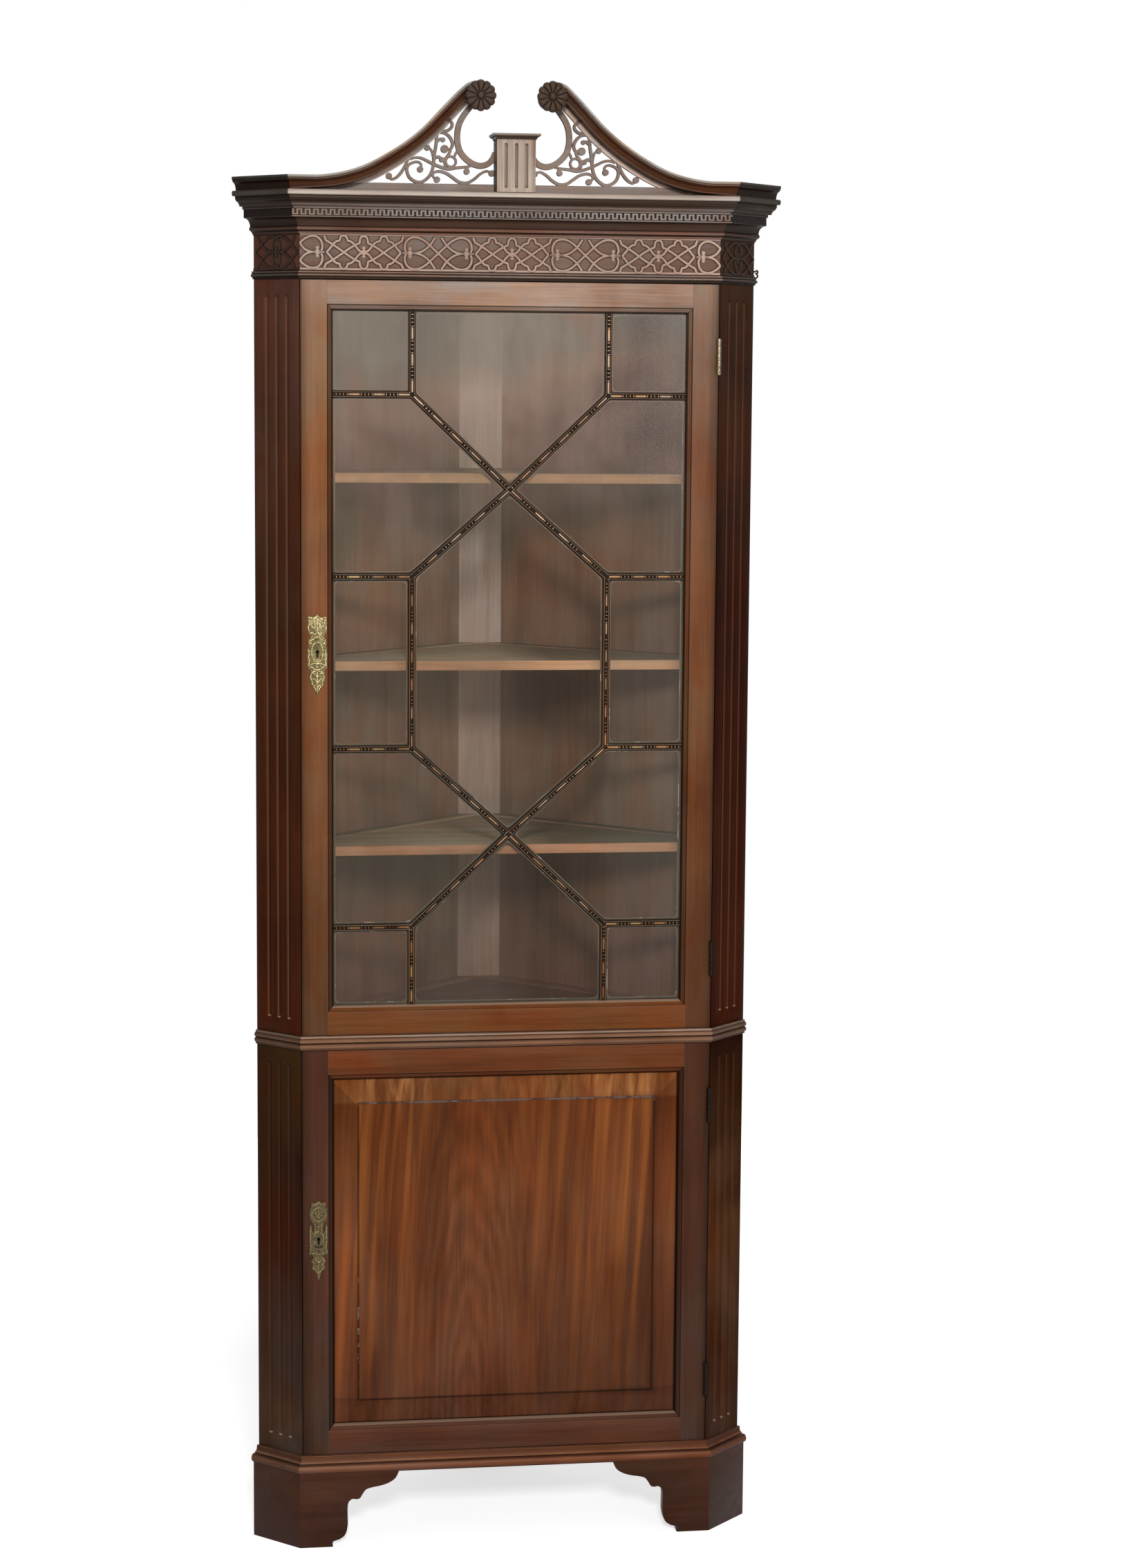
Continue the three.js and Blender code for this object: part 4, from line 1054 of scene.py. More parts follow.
SWAN_LINE = [
    (0.90, 0.005), (0.86, 0.0163), (0.82, 0.0323), (0.78, 0.0535), (0.74, 0.0805),
    (0.70, 0.1142), (0.66, 0.156), (0.62, 0.205), (0.58, 0.258), (0.54, 0.315), (0.50, 0.377),
    (0.46, 0.446), (0.42, 0.524), (0.378, 0.616),
    (0.304, 0.796), (0.232, 0.96), (0.202, 1), (0.168, 1.012),
]
SWAN_SECTION = profile(
    (12, 0), (39.2, 0), (39.4, 1.8), (43.2, 8.6, -0.22), (46.8, 12.0, 0.25), (47.2, 13.2),
    (47.9, 13.6), (48, 17.6), (47.6, 18), (12, 18), arc_steps=6,
)
SWAN_EYE_RADIUS = 18.0
FRET_SCROLLS = [
    [(0.466, 0.281), (0.458, 0.327), (0.472, 0.367), (0.503, 0.369), (0.539, 0.331),
     (0.549, 0.264), (0.532, 0.178), (0.492, 0.127), (0.453, 0.128), (0.412, 0.19),
     (0.39, 0.27), (0.381, 0.363), (0.385, 0.456), (0.399, 0.528), (0.422, 0.55)],
    [(0.529, 0.404), (0.492, 0.427), (0.453, 0.416), (0.406, 0.372), (0.36, 0.331),
     (0.293, 0.293), (0.233, 0.309), (0.178, 0.321), (0.133, 0.342)],
    [(0.182, 0.321), (0.168, 0.292), (0.173, 0.263)],
    [(0.662, 0.193), (0.645, 0.154), (0.612, 0.182), (0.579, 0.256), (0.552, 0.357),
     (0.535, 0.425)],
    [(0.36, 0.158), (0.385, 0.197), (0.38, 0.242), (0.346, 0.261), (0.3, 0.237),
     (0.26, 0.185), (0.22, 0.133), (0.173, 0.122), (0.127, 0.168), (0.087, 0.236),
     (0.047, 0.273), (0.014, 0.246)],
    [(0.345, 0.767), (0.362, 0.682), (0.367, 0.576), (0.376, 0.469), (0.381, 0.363),
     (0.39, 0.257), (0.389, 0.197)],
    [(0.353, 0.738), (0.313, 0.733), (0.28, 0.685), (0.262, 0.606), (0.276, 0.539),
     (0.313, 0.538)],
    [(0.362, 0.616), (0.343, 0.656), (0.323, 0.65)],
    [(0.27, 0.55), (0.286, 0.473), (0.31, 0.393), (0.303, 0.3)],
    [(0.376, 0.417), (0.35, 0.438), (0.33, 0.405)],
    [(0.345, 0.762), (0.3, 0.762), (0.27, 0.805), (0.266, 0.858), (0.285, 0.892)],
    [(0.251, 0.433), (0.243, 0.48), (0.23, 0.53)],
]
FRET_U_RIM = [
    (0.145, 1.083), (0.178, 0.996), (0.207, 0.908), (0.225, 0.82), (0.233, 0.713),
    (0.23, 0.608), (0.213, 0.502), (0.173, 0.411), (0.127, 0.355), (0.08, 0.337),
    (0.036, 0.367), (0.008, 0.425), (-0.009, 0.5),
]
FRET_BULBS = [
    (0.466, 0.281, 0.02), (0.422, 0.55, 0.019), (0.173, 0.263, 0.019), (0.662, 0.193, 0.02),
    (0.36, 0.158, 0.02), (0.014, 0.246, 0.02), (0.313, 0.538, 0.025), (0.323, 0.65, 0.015),
    (0.33, 0.405, 0.017), (0.285, 0.892, 0.016),
]
FRET_RING = (0.273, 0.383, 0.032)


def swan_centre(count):
    """Points along the swan neck's centre line, with their upward normals."""
    points = [(x * FRONT_HALF, SWAN_LOW + z * SWAN_RISE) for x, z in SWAN_LINE]
    line = evenly(spline(points, 16), count)
    stations = []
    for k, point in enumerate(line):
        ahead = line[min(k + 1, count)] - line[max(k - 1, 0)]
        ahead.normalize()
        stations.append((point, Vector((ahead.y, -ahead.x))))
    return stations


def swan_neck(side, finish):
    """One swan neck: its return along the cant, its mitre, and its rise to the round eye."""
    section = [(out, up - SWAN_HEIGHT / 2) for out, up in SWAN_SECTION]

    def seated(up):
        return SWAN_LOW + up + min(up, 0) * 2 * SWAN_LIFT / SWAN_HEIGHT

    rings = []
    for station in (3, 2):
        rings.append([(*case_line(out)[station], seated(up)) for out, up in section])
    rings.append([(FRONT_HALF - 22, -out, SWAN_LOW + up) for out, up in section])
    for point, normal in swan_centre(72):
        rings.append(
            [(point.x + normal.x * up, -out, point.y + normal.y * up) for out, up in section]
        )
    neck = [[(side * x, y, z) for x, y, z in ring] for ring in rings]
    eye = []
    for out, share in ((12, 1), (45.4, 1), (47.2, 0.965), (48, 0.9)):
        eye.append(
            [
                (
                    side * (ROSETTE_OUT + share * SWAN_EYE_RADIUS * math.cos(math.pi * k / 24)),
                    -out, ROSETTE_LEVEL + share * SWAN_EYE_RADIUS * math.sin(math.pi * k / 24),
                )
                for k in range(48)
            ]
        )
    neck_mesh, eye_mesh = skin(*loft(neck)), skin(*loft(eye))
    marked(neck_mesh, "section_height", [up for _, up in SWAN_SECTION] * len(neck))
    marked(eye_mesh, "section_height", [6.0] * 48 * len(eye))
    mesh = merged(closed(neck_mesh), closed(eye_mesh))
    label = "right" if side > 0 else "left"
    piece = settle(f"swan_neck_{label}_moulded", mesh, finish, crease=32)
    return fit(piece, "cabinet", "swan_wood", f"swan_neck_{label}")


def scroll_fret(side, finish):
    """The pierced scrolls between a swan neck and the plinth, sawn and lightly carved."""

    def place(across, up):
        return (PLINTH_HALF + across * FRET_REACH, TOP_BOARD_TOP + up * FRET_HEIGHT)

    middle = FRET_THICK / 2
    stand = on_front(FRET_FRONT + FRET_THICK, side)
    parts = []

    def saw(lines, width, taper=True, proud=0.0):
        strands = []
        for k, line in enumerate(lines):
            points = evenly(spline(line, 8), 5 * len(line))
            last = len(points) - 1
            strand = []
            for j, point in enumerate(points):
                thin = 1 - 0.32 * abs(2 * j / last - 1) ** 2 if taper else 1.0
                strand.append((point.x, point.y, middle + proud + 0.03 * (k % 5), thin))
            strands.append(strand)
        parts.append(straps(strands, finish, width, FRET_THICK, 0.9, stand))

    saw([[place(*p) for p in line] for line in FRET_SCROLLS[:-1]], 4.9)
    saw([[place(*p) for p in FRET_SCROLLS[-1]]], 3.6)
    saw([[place(*p) for p in FRET_U_RIM]], 9.0, taper=False, proud=0.2)
    rim = [
        (point.x - normal.x * SWAN_HEIGHT / 2, point.y - normal.y * SWAN_HEIGHT / 2)
        for point, normal in swan_centre(28)
    ][2:-2]
    saw([rim], 13.5, taper=False, proud=-0.15)
    under_neck = len(parts) - 1
    rail_end = rim[0][0]
    level = TOP_BOARD_TOP + 6.5
    saw([[(PLINTH_HALF, level), (rail_end, level)]], 13.0, taper=False, proud=-0.1)
    under = [
        (point.x - normal.x * (SWAN_HEIGHT / 2 - 1), point.y - normal.y * (SWAN_HEIGHT / 2 - 1))
        for point, normal in swan_centre(28)
    ][:4]
    tail = cutout(
        [[(FRONT_HALF - 3, under[0][1]), *under, (under[-1][0], TOP_BOARD_TOP + 0.1),
          (FRONT_HALF - 3, TOP_BOARD_TOP + 0.1)]],
        FRET_THICK, 0.2,
    )
    tail.transform(stand @ Matrix.Translation((0, 0, middle - 0.2)))
    parts.append(tail)
    tail_part = len(parts) - 1
    ring_x, ring_z = place(*FRET_RING[:2])
    circle = [
        (
            ring_x + FRET_RING[2] * FRET_REACH * math.cos(math.pi * k / 10),
            ring_z + FRET_RING[2] * FRET_REACH * math.sin(math.pi * k / 10),
        )
        for k in range(21)
    ]
    saw([circle], 3.6, taper=False)
    for across, up, size in FRET_BULBS:
        x, z = place(across, up)
        disc = cutout(
            [
                [
                    (
                        x + size * FRET_REACH * math.cos(math.pi * k / 10),
                        z + size * FRET_REACH * math.sin(math.pi * k / 10),
                    )
                    for k in range(20)
                ]
            ],
            FRET_THICK,
            0.8,
        )
        disc.transform(Matrix.Translation((0, 0, middle)))
        disc.transform(stand)
        parts.append(disc)
    # The edge under the neck, and less so the tail, are marked to take painted light where the neck
    # casts its shadow.
    for k, part in enumerate(parts):
        share = {under_neck: 1.0, tail_part: 0.28}.get(k, 0.0)
        marked(part, "under_neck", [share] * len(part.vertices))
    label = "right" if side > 0 else "left"
    piece = settle(f"scroll_fret_{label}_carved", merged(*parts), finish, crease=40)
    return fit(piece, "cabinet", "faded_wood", f"scroll_fret_{label}")


def rosette(side, finish):
    """A carved flower: twelve gouged petals, a ring of small buds and a round boss."""
    petals, steps = 12, 12 * 10
    radius, rise = 23.45, 7.3
    stations = [
        (0.0, 1.0), (0.09, 0.99), (0.15, 0.93), (0.19, 0.8), (0.205, 0.55), (0.23, 0.46),
        (0.3, 0.56), (0.42, 0.70), (0.56, 0.80), (0.7, 0.84), (0.82, 0.78), (0.9, 0.66),
        (0.96, 0.45), (1.0, 0.2), (1.0, 0.0),
    ]
    rings = []
    for share, height in stations:
        ring = []
        for k in range(steps):
            turn = 2 * math.pi * k / steps
            crest = abs(math.cos(turn * petals / 2))
            groove = 1 - crest ** 0.6
            hollow = math.exp(-((crest - 1) / 0.18) ** 2)
            active = 1.0 if share > 0.22 else 0.0
            reach = max(share, 0.004) * radius * (1 - 0.10 * groove * active)
            lift = height * rise
            lift *= 1 - active * (0.5 * groove + 0.14 * hollow * min(1, (share - 0.2) * 3))
            ring.append((side * (ROSETTE_OUT + reach * math.cos(turn)), -TOP_BOARD_OUT - lift,
                         ROSETTE_LEVEL + reach * math.sin(turn)))
        rings.append(ring)
    mesh = closed(skin(*loft(rings)))
    label = "right" if side > 0 else "left"
    piece = settle(f"rosette_{label}_carved", mesh, finish, crease=60)
    return fit(piece, "cabinet", "carved_wood", f"rosette_{label}")


def plinth(finish, cap_finish):
    """The fluted block between the swan necks and its moulded cap."""
    front = FRET_FRONT + FRET_THICK - PLINTH_DEPTH
    back = FRET_FRONT + FRET_THICK
    top = TOP_BOARD_TOP + PLINTH_HEIGHT
    stock = block(-PLINTH_HALF, PLINTH_HALF, front, back, TOP_BOARD_TOP, top)
    flutes = [
        capsule(x, front + 1.2, TOP_BOARD_TOP + 5.5, top - 5.5, 2.7) for x in (-15.6, 0, 15.4)
    ]
    mesh = carved(closed(stock), [closed(flute) for flute in flutes])
    fit(
        settle("pediment_plinth_fluted", mesh, finish, ease=0.4, ease_over=55),
        "cabinet", "faded_wood", "pediment_plinth",
    )
    section = profile(
        (0.6, 0), (1.6, 0.2), (1.8, 1.6), (4.8, 3.8, -0.3), (5.6, 4.2), (6.2, 5.2), (6.9, 5.4),
        (7.2, 5.8), (7.2, 8.0), (6.8, 8.3),
    )
    rings = []
    for out, up in section:
        half = PLINTH_HALF + out
        rings.append(
            [
                (-half, front - out, top + up), (half, front - out, top + up),
                (half, back, top + up), (-half, back, top + up),
            ]
        )
    fit(
        settle("plinth_cap_moulded", skin(*loft(rings)), cap_finish, crease=32),
        "cabinet", "cornice_wood", "plinth_cap",
    )


def top_board(finish):
    """The board over the cornice, its nose rounded by wear."""
    rings = []
    for out, up in ((45.9, 0), (47.3, 0.8), (47.9, 2.3), (48, 4), (47.9, 5.7), (47.3, 7.1),
                    (46.2, 8)):
        line = case_line(out)
        rear_x = FRONT_HALF + 2 * CANT_REACH - 8.5
        level = CORNICE_TOP + up
        rings.append([(x, y, level) for x, y in line + REAR_CORNERS])
    fit(
        settle("cornice_top_board_worn", skin(*loft(rings)), finish, crease=32),
        "cabinet", "faded_wood", "cornice_top_board",
    )


WALL_SUM = FRONT_HALF + 2 * CANT_REACH
BACK_INNER = WALL_SUM - 10 * math.sqrt(2)
CORNER_BACK = BACK_INNER - 35 + 10 * ROOT_HALF + 8.5
REAR_CORNERS = [(WALL_SUM - CORNER_BACK, CORNER_BACK), (CORNER_BACK - WALL_SUM, CORNER_BACK)]


# ---------------------------------------------------------------- doors

SIGHT_BOTTOM = DOOR_LEVELS["upper"]["low"] + 9
SIGHT_TOP = DOOR_LEVELS["upper"]["high"] - 9
FOOT, CROSS_LOW, WAIST_LOW, WAIST_HIGH, CROSS_HIGH, HEAD = [
    SIGHT_BOTTOM + share * (SIGHT_TOP - SIGHT_BOTTOM)
    for share in (0.114, 0.248, 0.3745, 0.6227, 0.7475, 0.882)
]
BAR_HALF = 5.75


def lattice_lines():
    """The glazing bars as drawn lines, from knot to knot or out to the frame."""
    lines = []
    for side in (1, -1):
        x, edge = side * LATTICE_HALF, side * (SIGHT_HALF - 0.3)
        lines += [
            [(x, HEAD), (x, SIGHT_TOP - 0.3)], [(x, SIGHT_BOTTOM + 0.3), (x, FOOT)],
            [(x, WAIST_LOW), (x, WAIST_HIGH)], [(x, HEAD), (0, CROSS_HIGH)],
            [(0, CROSS_HIGH), (x, WAIST_HIGH)], [(x, WAIST_LOW), (0, CROSS_LOW)],
            [(0, CROSS_LOW), (x, FOOT)],
        ]
        lines += [[(x, z), (edge, z)] for z in (HEAD, WAIST_HIGH, WAIST_LOW, FOOT)]
    return lines


def turned_unit(stations, sides=10):
    """A small turned shape lying along x on the drawing plane, from its stations and radii."""
    rings = [
        [
            Vector(
                (x, r * math.cos(2 * math.pi * k / sides), r * math.sin(2 * math.pi * k / sides))
            )
            for k in range(sides)
        ]
        for x, r in stations
    ]
    return skin(*loft(rings), placed=True)


def glazing_bars(bar_finish, bead_finish, reel_finish):
    """The astragal bars: a dark moulded bar with a string of beads and reels along it."""
    lines = lattice_lines()
    section = profile(
        (-BAR_HALF, 0), (-BAR_HALF, 1.0), (-4.3, 4.0, -0.16), (-3.7, 4.5), (-3.0, 4.4),
        (-2.7, 3.4), (2.7, 3.4), (3.0, 4.4), (3.7, 4.5), (4.3, 4.0), (BAR_HALF, 1.0, -0.16),
        (BAR_HALF, 0), arc_steps=4,
    )
    stand = on_front(10.0)
    parts = []
    for (x0, y0), (x1, y1) in lines:
        start, stop = Vector((x0, y0)), Vector((x1, y1))
        along = (stop - start).normalized()
        side = Vector((-along.y, along.x))
        rings = [
            [Vector((*(end + side * across), rise)) for across, rise in section]
            for end in (start, stop)
        ]
        bar = closed(skin(*loft(rings), placed=True))
        marked(bar, "from_middle", [abs(across) for across, _ in section] * 2)
        low = x0 == x1 and max(y0, y1) < WAIST_HIGH + 1
        marked(bar, "low_upright", [float(low)] * len(section) * 2)
        parts.append(bar)
    for x in (LATTICE_HALF, -LATTICE_HALF, 0):
        for z in ((HEAD, WAIST_HIGH, WAIST_LOW, FOOT) if x else (CROSS_HIGH, CROSS_LOW)):
            knot = boss(x, z, 4.6, 4.8, sides=18)
            marked(knot, "from_middle", [4.4] * len(knot.vertices))
            marked(knot, "low_upright", [0.0] * len(knot.vertices))
            parts.append(knot)
    for part in parts:
        part.transform(stand)
    bars = settle("astragal_bars", merged(*parts), bar_finish, crease=40)
    fit(bars, "upper_door", "dark_door_wood", "astragal_lattice")
    beads, reels = [], []
    for line in lines:
        start, stop = Vector(line[0]), Vector(line[1])
        length = (stop - start).length
        inset = 3.0
        count = max(1, round((length - 2 * inset) / 37.0))
        pitch = (length - 2 * inset) / count
        along = (stop - start).normalized()
        ends = [tuple(start + along * inset), tuple(stop - along * inset)]
        share = pitch / 37.0
        bead = merged(
            *[
                turned_unit(
                    [
                        (share * (21.6 + 5.4 * k) + 1.8 * math.sin(a), 2.3 * max(math.cos(a), 0.08))
                        for a in (-1.5, -1.1, -0.55, 0, 0.55, 1.1, 1.5)
                    ]
                )
                for k in range(3)
            ]
        )
        middle_upright = abs(along.x) < 0.1 and 1150 < start.y < 1720 and 1150 < stop.y < 1720
        slanting = float(abs(along.x * along.y) > 0.1 or middle_upright)
        girth = 1 - 0.26 * slanting
        shapes = [
            ((0.4, 1.0), (0.9, 1.5), (2.2, 1.8), (9, 1.85), (15.6, 1.8), (16.9, 1.5), (17.5, 1.0)),
            *(
                ((x - 0.65, 1.2), (x - 0.5, 2.2), (x + 0.5, 2.2), (x + 0.65, 1.2))
                for x in (18.9, 24.3, 29.7, 35.1)
            ),
        ]
        reel = merged(
            *[turned_unit([(share * x, girth * r) for x, r in shape]) for shape in shapes]
        )
        shift = on_front(6.2)
        beads.append(repeated(bead, [ends], pitch, bead_finish, shift))
        strings = repeated(reel, [ends], pitch, reel_finish, shift)
        marked(strings, "slanting", [slanting] * len(strings.vertices))
        reels.append(strings)
    fit(
        settle("astragal_beads", merged(*beads), bead_finish, crease=60),
        "upper_door", "dark_door_wood",
    )
    fit(
        settle("astragal_reels", merged(*reels), reel_finish, crease=60),
        "upper_door", "dark_door_wood",
    )


def pane_outlines(rebate=0.0):
    """The thirteen panes on the drawing plane, let into the frame by a rebate."""
    a, s = LATTICE_HALF, SIGHT_HALF + rebate
    top, foot = SIGHT_TOP + rebate, SIGHT_BOTTOM - rebate
    panes = [
        [(-a, top), (-a, HEAD), (0, CROSS_HIGH), (a, HEAD), (a, top)],
        [(0, CROSS_HIGH), (-a, WAIST_HIGH), (-a, WAIST_LOW), (0, CROSS_LOW), (a, WAIST_LOW),
         (a, WAIST_HIGH)],
        [(-a, foot), (a, foot), (a, FOOT), (0, CROSS_LOW), (-a, FOOT)],
    ]
    for side in (-1, 1):
        panes += [
            [(side * s, top), (side * s, HEAD), (side * a, HEAD), (side * a, top)],
            [(side * s, HEAD), (side * s, WAIST_HIGH), (side * a, WAIST_HIGH), (0, CROSS_HIGH),
             (side * a, HEAD)],
            [(side * s, WAIST_HIGH), (side * s, WAIST_LOW), (side * a, WAIST_LOW),
             (side * a, WAIST_HIGH)],
            [(side * s, WAIST_LOW), (side * s, FOOT), (side * a, FOOT), (0, CROSS_LOW),
             (side * a, WAIST_LOW)],
            [(side * s, FOOT), (side * s, foot), (side * a, foot), (side * a, FOOT)],
        ]
    return panes


def rounded_inset(outline, inset, radius, steps=6):
    """A polygon moved inwards by inset, with its corners rounded."""
    points = [Vector(p) for p in outline]
    area = sum(
        points[k - 1].x * points[k].y - points[k].x * points[k - 1].y for k in range(len(points))
    )
    if area < 0:
        points.reverse()
    count = len(points)
    moved = []
    for k in range(count):
        before = (points[k] - points[k - 1]).normalized()
        after = (points[(k + 1) % count] - points[k]).normalized()
        left = Vector((-before.y, before.x)) + Vector((-after.y, after.x))
        share = inset / max(left.length_squared / 2, 1e-6)
        moved.append(points[k] + left * share)
    rounded = []
    for k in range(count):
        corner = moved[k]
        back = (moved[k - 1] - corner).normalized()
        ahead = (moved[(k + 1) % count] - corner).normalized()
        start, stop = corner + back * radius, corner + ahead * radius
        for j in range(steps + 1):
            t = j / steps
            rounded.append(tuple(start.lerp(corner, t).lerp(corner.lerp(stop, t), t)))
    return rounded


def glazing(glass_finish, putty_finish, lip_and_highlight_finish):
    """Thirteen panes of old glass, each a little out of true, and their putty seen through."""
    glass, putty, lips = [], [], []
    for outline in pane_outlines():
        pane = cutout([rounded_inset(outline, 0.8, 1.0, 2)], 1.8)
        middle = sum((Vector(p) for p in outline), Vector((0, 0))) / len(outline)
        lean = Matrix.Rotation(math.radians(chance.uniform(-PANE_LEAN, PANE_LEAN)), 4, "X")
        lean @= Matrix.Rotation(math.radians(chance.uniform(-PANE_LEAN, PANE_LEAN)), 4, "Y")
        centre = Matrix.Translation((*middle, 0))
        pane.transform(on_front(GLASS_DEPTH + 1.1) @ centre @ lean @ centre.inverted())
        glass.append(pane)
    for outline in pane_outlines(rebate=4.0):
        ring = cutout([rounded_inset(outline, 1.0, 1.0, 2), rounded_inset(outline, 6.6, 6.0)], 1.2)
        ring.transform(on_front(GLASS_DEPTH + 3.4))
        putty.append(ring)
        # A pale lip round each pane's putty: pale putty whose colour also paints the highlight
        # along its edge.
        lip = cutout([rounded_inset(outline, 6.4, 5.9), rounded_inset(outline, 7.9, 8.2)], 1.2, 0.3)
        lip.transform(on_front(GLASS_DEPTH + 3.4))
        lips.append(lip)
    fit(settle("glazing_panes", merged(*glass), glass_finish), "upper_door", "glass", "door_glass")
    fit(settle("glazing_putty", merged(*putty), putty_finish), "upper_door", "dark_door_wood")
    fit(settle("glazing_putty_lip", merged(*lips), lip_and_highlight_finish), "upper_door", "dark_door_wood")


# Lines of the lock plates' relief, right half: share of the half width, share of the height
PLATE_HALF = 15.5
PLATE_HEIGHT = 123.0
PLATE_THICK = 1.5
KEYHOLE_SHARE = 0.53
PENDANT_VEINS = [
    [(0.0, 0.29), (0.0, 0.16), (0.0, 0.03)],
    [(0.02, 0.22), (0.22, 0.255), (0.44, 0.275)], [(0.02, 0.15), (0.22, 0.185), (0.46, 0.20)],
    [(0.02, 0.09), (0.15, 0.11), (0.32, 0.12)],
]
PLATE_LINES = {
    "upper": [
        [(0.0, 0.975), (0.18, 0.965), (0.38, 0.94), (0.62, 0.955), (0.86, 0.955)],
        [(0.0, 0.94), (0.0, 0.86), (0.0, 0.79)],
        [(0.86, 0.93), (0.72, 0.905), (0.76, 0.87), (0.88, 0.85), (0.84, 0.81), (0.7, 0.79)],
        [(0.16, 0.915), (0.36, 0.90), (0.58, 0.885), (0.56, 0.85), (0.36, 0.825), (0.2, 0.85),
         (0.34, 0.868)],
        [(0.06, 0.78), (0.26, 0.745), (0.5, 0.775), (0.72, 0.755)],
        [(0.1, 0.73), (0.3, 0.70), (0.52, 0.68), (0.74, 0.67), (0.7, 0.64), (0.5, 0.645)],
        [(0.0, 0.655), (0.26, 0.642), (0.46, 0.6), (0.55, 0.53), (0.46, 0.46), (0.26, 0.418),
         (0.0, 0.405)],
        [(0.9, 0.56), (0.8, 0.52), (0.86, 0.46), (0.78, 0.41), (0.88, 0.37)],
        [(0.0, 0.385), (0.3, 0.39), (0.6, 0.375), (0.9, 0.36)],
        [(0.0, 0.305), (0.26, 0.315), (0.5, 0.34), (0.74, 0.35)],
        [(0.12, 0.285), (0.4, 0.29), (0.6, 0.25), (0.66, 0.21), (0.5, 0.17), (0.48, 0.13),
         (0.28, 0.09), (0.12, 0.05)],
        *PENDANT_VEINS,
    ],
    "lower": [
        [(0.0, 1.01), (0.2, 0.985), (0.42, 0.975), (0.66, 0.99)],
        [(0.0, 0.945), (0.4, 0.92), (0.66, 0.88), (0.66, 0.83), (0.4, 0.78), (0.0, 0.765)],
        [(0.0, 0.90), (0.0, 0.85), (0.0, 0.80)], [(0.04, 0.82), (0.22, 0.86), (0.36, 0.885)],
        [(0.34, 0.735), (0.3, 0.68), (0.34, 0.62)],
        [(0.8, 0.69), (0.79, 0.6), (0.8, 0.5), (0.76, 0.4), (0.86, 0.355)],
        [(0.0, 0.63), (0.26, 0.618), (0.44, 0.585), (0.46, 0.53), (0.42, 0.47)],
        [(0.0, 0.335), (0.3, 0.34), (0.6, 0.35)],
        [(0.1, 0.29), (0.36, 0.285), (0.58, 0.245), (0.42, 0.215), (0.4, 0.19), (0.5, 0.155),
         (0.3, 0.14), (0.14, 0.09)],
        *PENDANT_VEINS,
    ],
}
PLATE_STUDS = {
    "upper": [(0.44, 0.845, 1.5), (0.0, 0.435, 1.7), (0.76, 0.44, 1.2), (0.0, 0.345, 1.8),
              (0.0, 0.715, 1.6), (0.46, 0.725, 1.1), (0.0, 0.235, 1.7)],
    "lower": [(0.3, 0.84, 1.5), (0.0, 0.70, 1.6), (0.62, 0.44, 1.1), (0.0, 0.235, 1.7)],
}
LOWER_PLATE = [
    (0, 1.035), (0.12, 1.02), (0.35, 1.0), (0.66, 1.015), (0.76, 0.98), (0.70, 0.955),
    (0.86, 0.92), (0.92, 0.86), (0.84, 0.79), (0.60, 0.745), (0.50, 0.715), (0.47, 0.63),
    (0.52, 0.61), (0.60, 0.63), (0.66, 0.71), (0.78, 0.72), (0.90, 0.69), (0.94, 0.60),
    (0.90, 0.45), (0.92, 0.385), (1.0, 0.345), (0.88, 0.33), (0.50, 0.315), (0.54, 0.29),
    (0.78, 0.245), (0.64, 0.215), (0.58, 0.195), (0.70, 0.155), (0.62, 0.13), (0.40, 0.125),
    (0.24, 0.09), (0.18, 0.05), (0.07, 0.0),
]


def lock_plate(stage, finish, relief_finish):
    """A cast lock plate with its relief; the lower one is pierced at the neck and the foot."""
    lock = DOOR_LEVELS[stage]["lock"]
    foot = lock - KEYHOLE_SHARE * PLATE_HEIGHT

    def place(across, up):
        return LOCK_ACROSS + across * PLATE_HALF, foot + up * PLATE_HEIGHT

    node = f"{stage}_escutcheon"
    if stage == "upper":
        dressed(node, "brass", finish, ease=0.3)
    else:
        outline = [place(u, v) for u, v in LOWER_PLATE]
        outline += [place(-u, v) for u, v in reversed(LOWER_PLATE[1:])]
        keyhole = [
            (LOCK_ACROSS + 2.6 * math.cos(a), lock + 2.6 * math.sin(a))
            for a in [math.radians(k) for k in range(-50, 231, 20)]
        ]
        keyhole += [(LOCK_ACROSS - 1.5, lock - 9), (LOCK_ACROSS + 1.5, lock - 9)]
        crescent = [place(0.46 * math.sin(a), 0.452 - 0.04 * math.cos(a)) for a in
                    [math.radians(k) for k in range(-84, 85, 14)]]
        crescent += [place(0.42 * math.sin(a), 0.456 - 0.018 * math.cos(a)) for a in
                     [math.radians(k) for k in range(84, -85, -14)]]
        hole = [place(0.09 * math.cos(k), 0.372 + 0.011 * math.sin(k)) for k in range(6)]
        plate = cutout([outline, keyhole, crescent, hole], PLATE_THICK, 0.3)
        plate.transform(on_front(-PLATE_THICK / 2))
        fit(settle(node + "_pierced", plate, finish), "lower_door", "brass", node)
    lines = []
    for line in PLATE_LINES[stage]:
        for flip in (1, -1) if any(u for u, _ in line) else (1,):
            points = [place(flip * u, v) for u, v in line]
            lines.append([tuple(p) for p in evenly(spline(points, 6), 3 * len(points))])
    stand = on_front(-PLATE_THICK)
    parts = [straps(lines, relief_finish, 1.5, 2.0, 0.7, stand)]
    for u, v, radius in PLATE_STUDS[stage]:
        for flip in (1, -1) if u else (1,):
            stud = boss(*place(flip * u, v), radius, 1.3, sides=12)
            stud.transform(stand)
            parts.append(stud)
    relief = settle(f"{stage}_escutcheon_relief", merged(*parts), relief_finish, crease=55)
    fit(relief, f"{stage}_door", "brass")


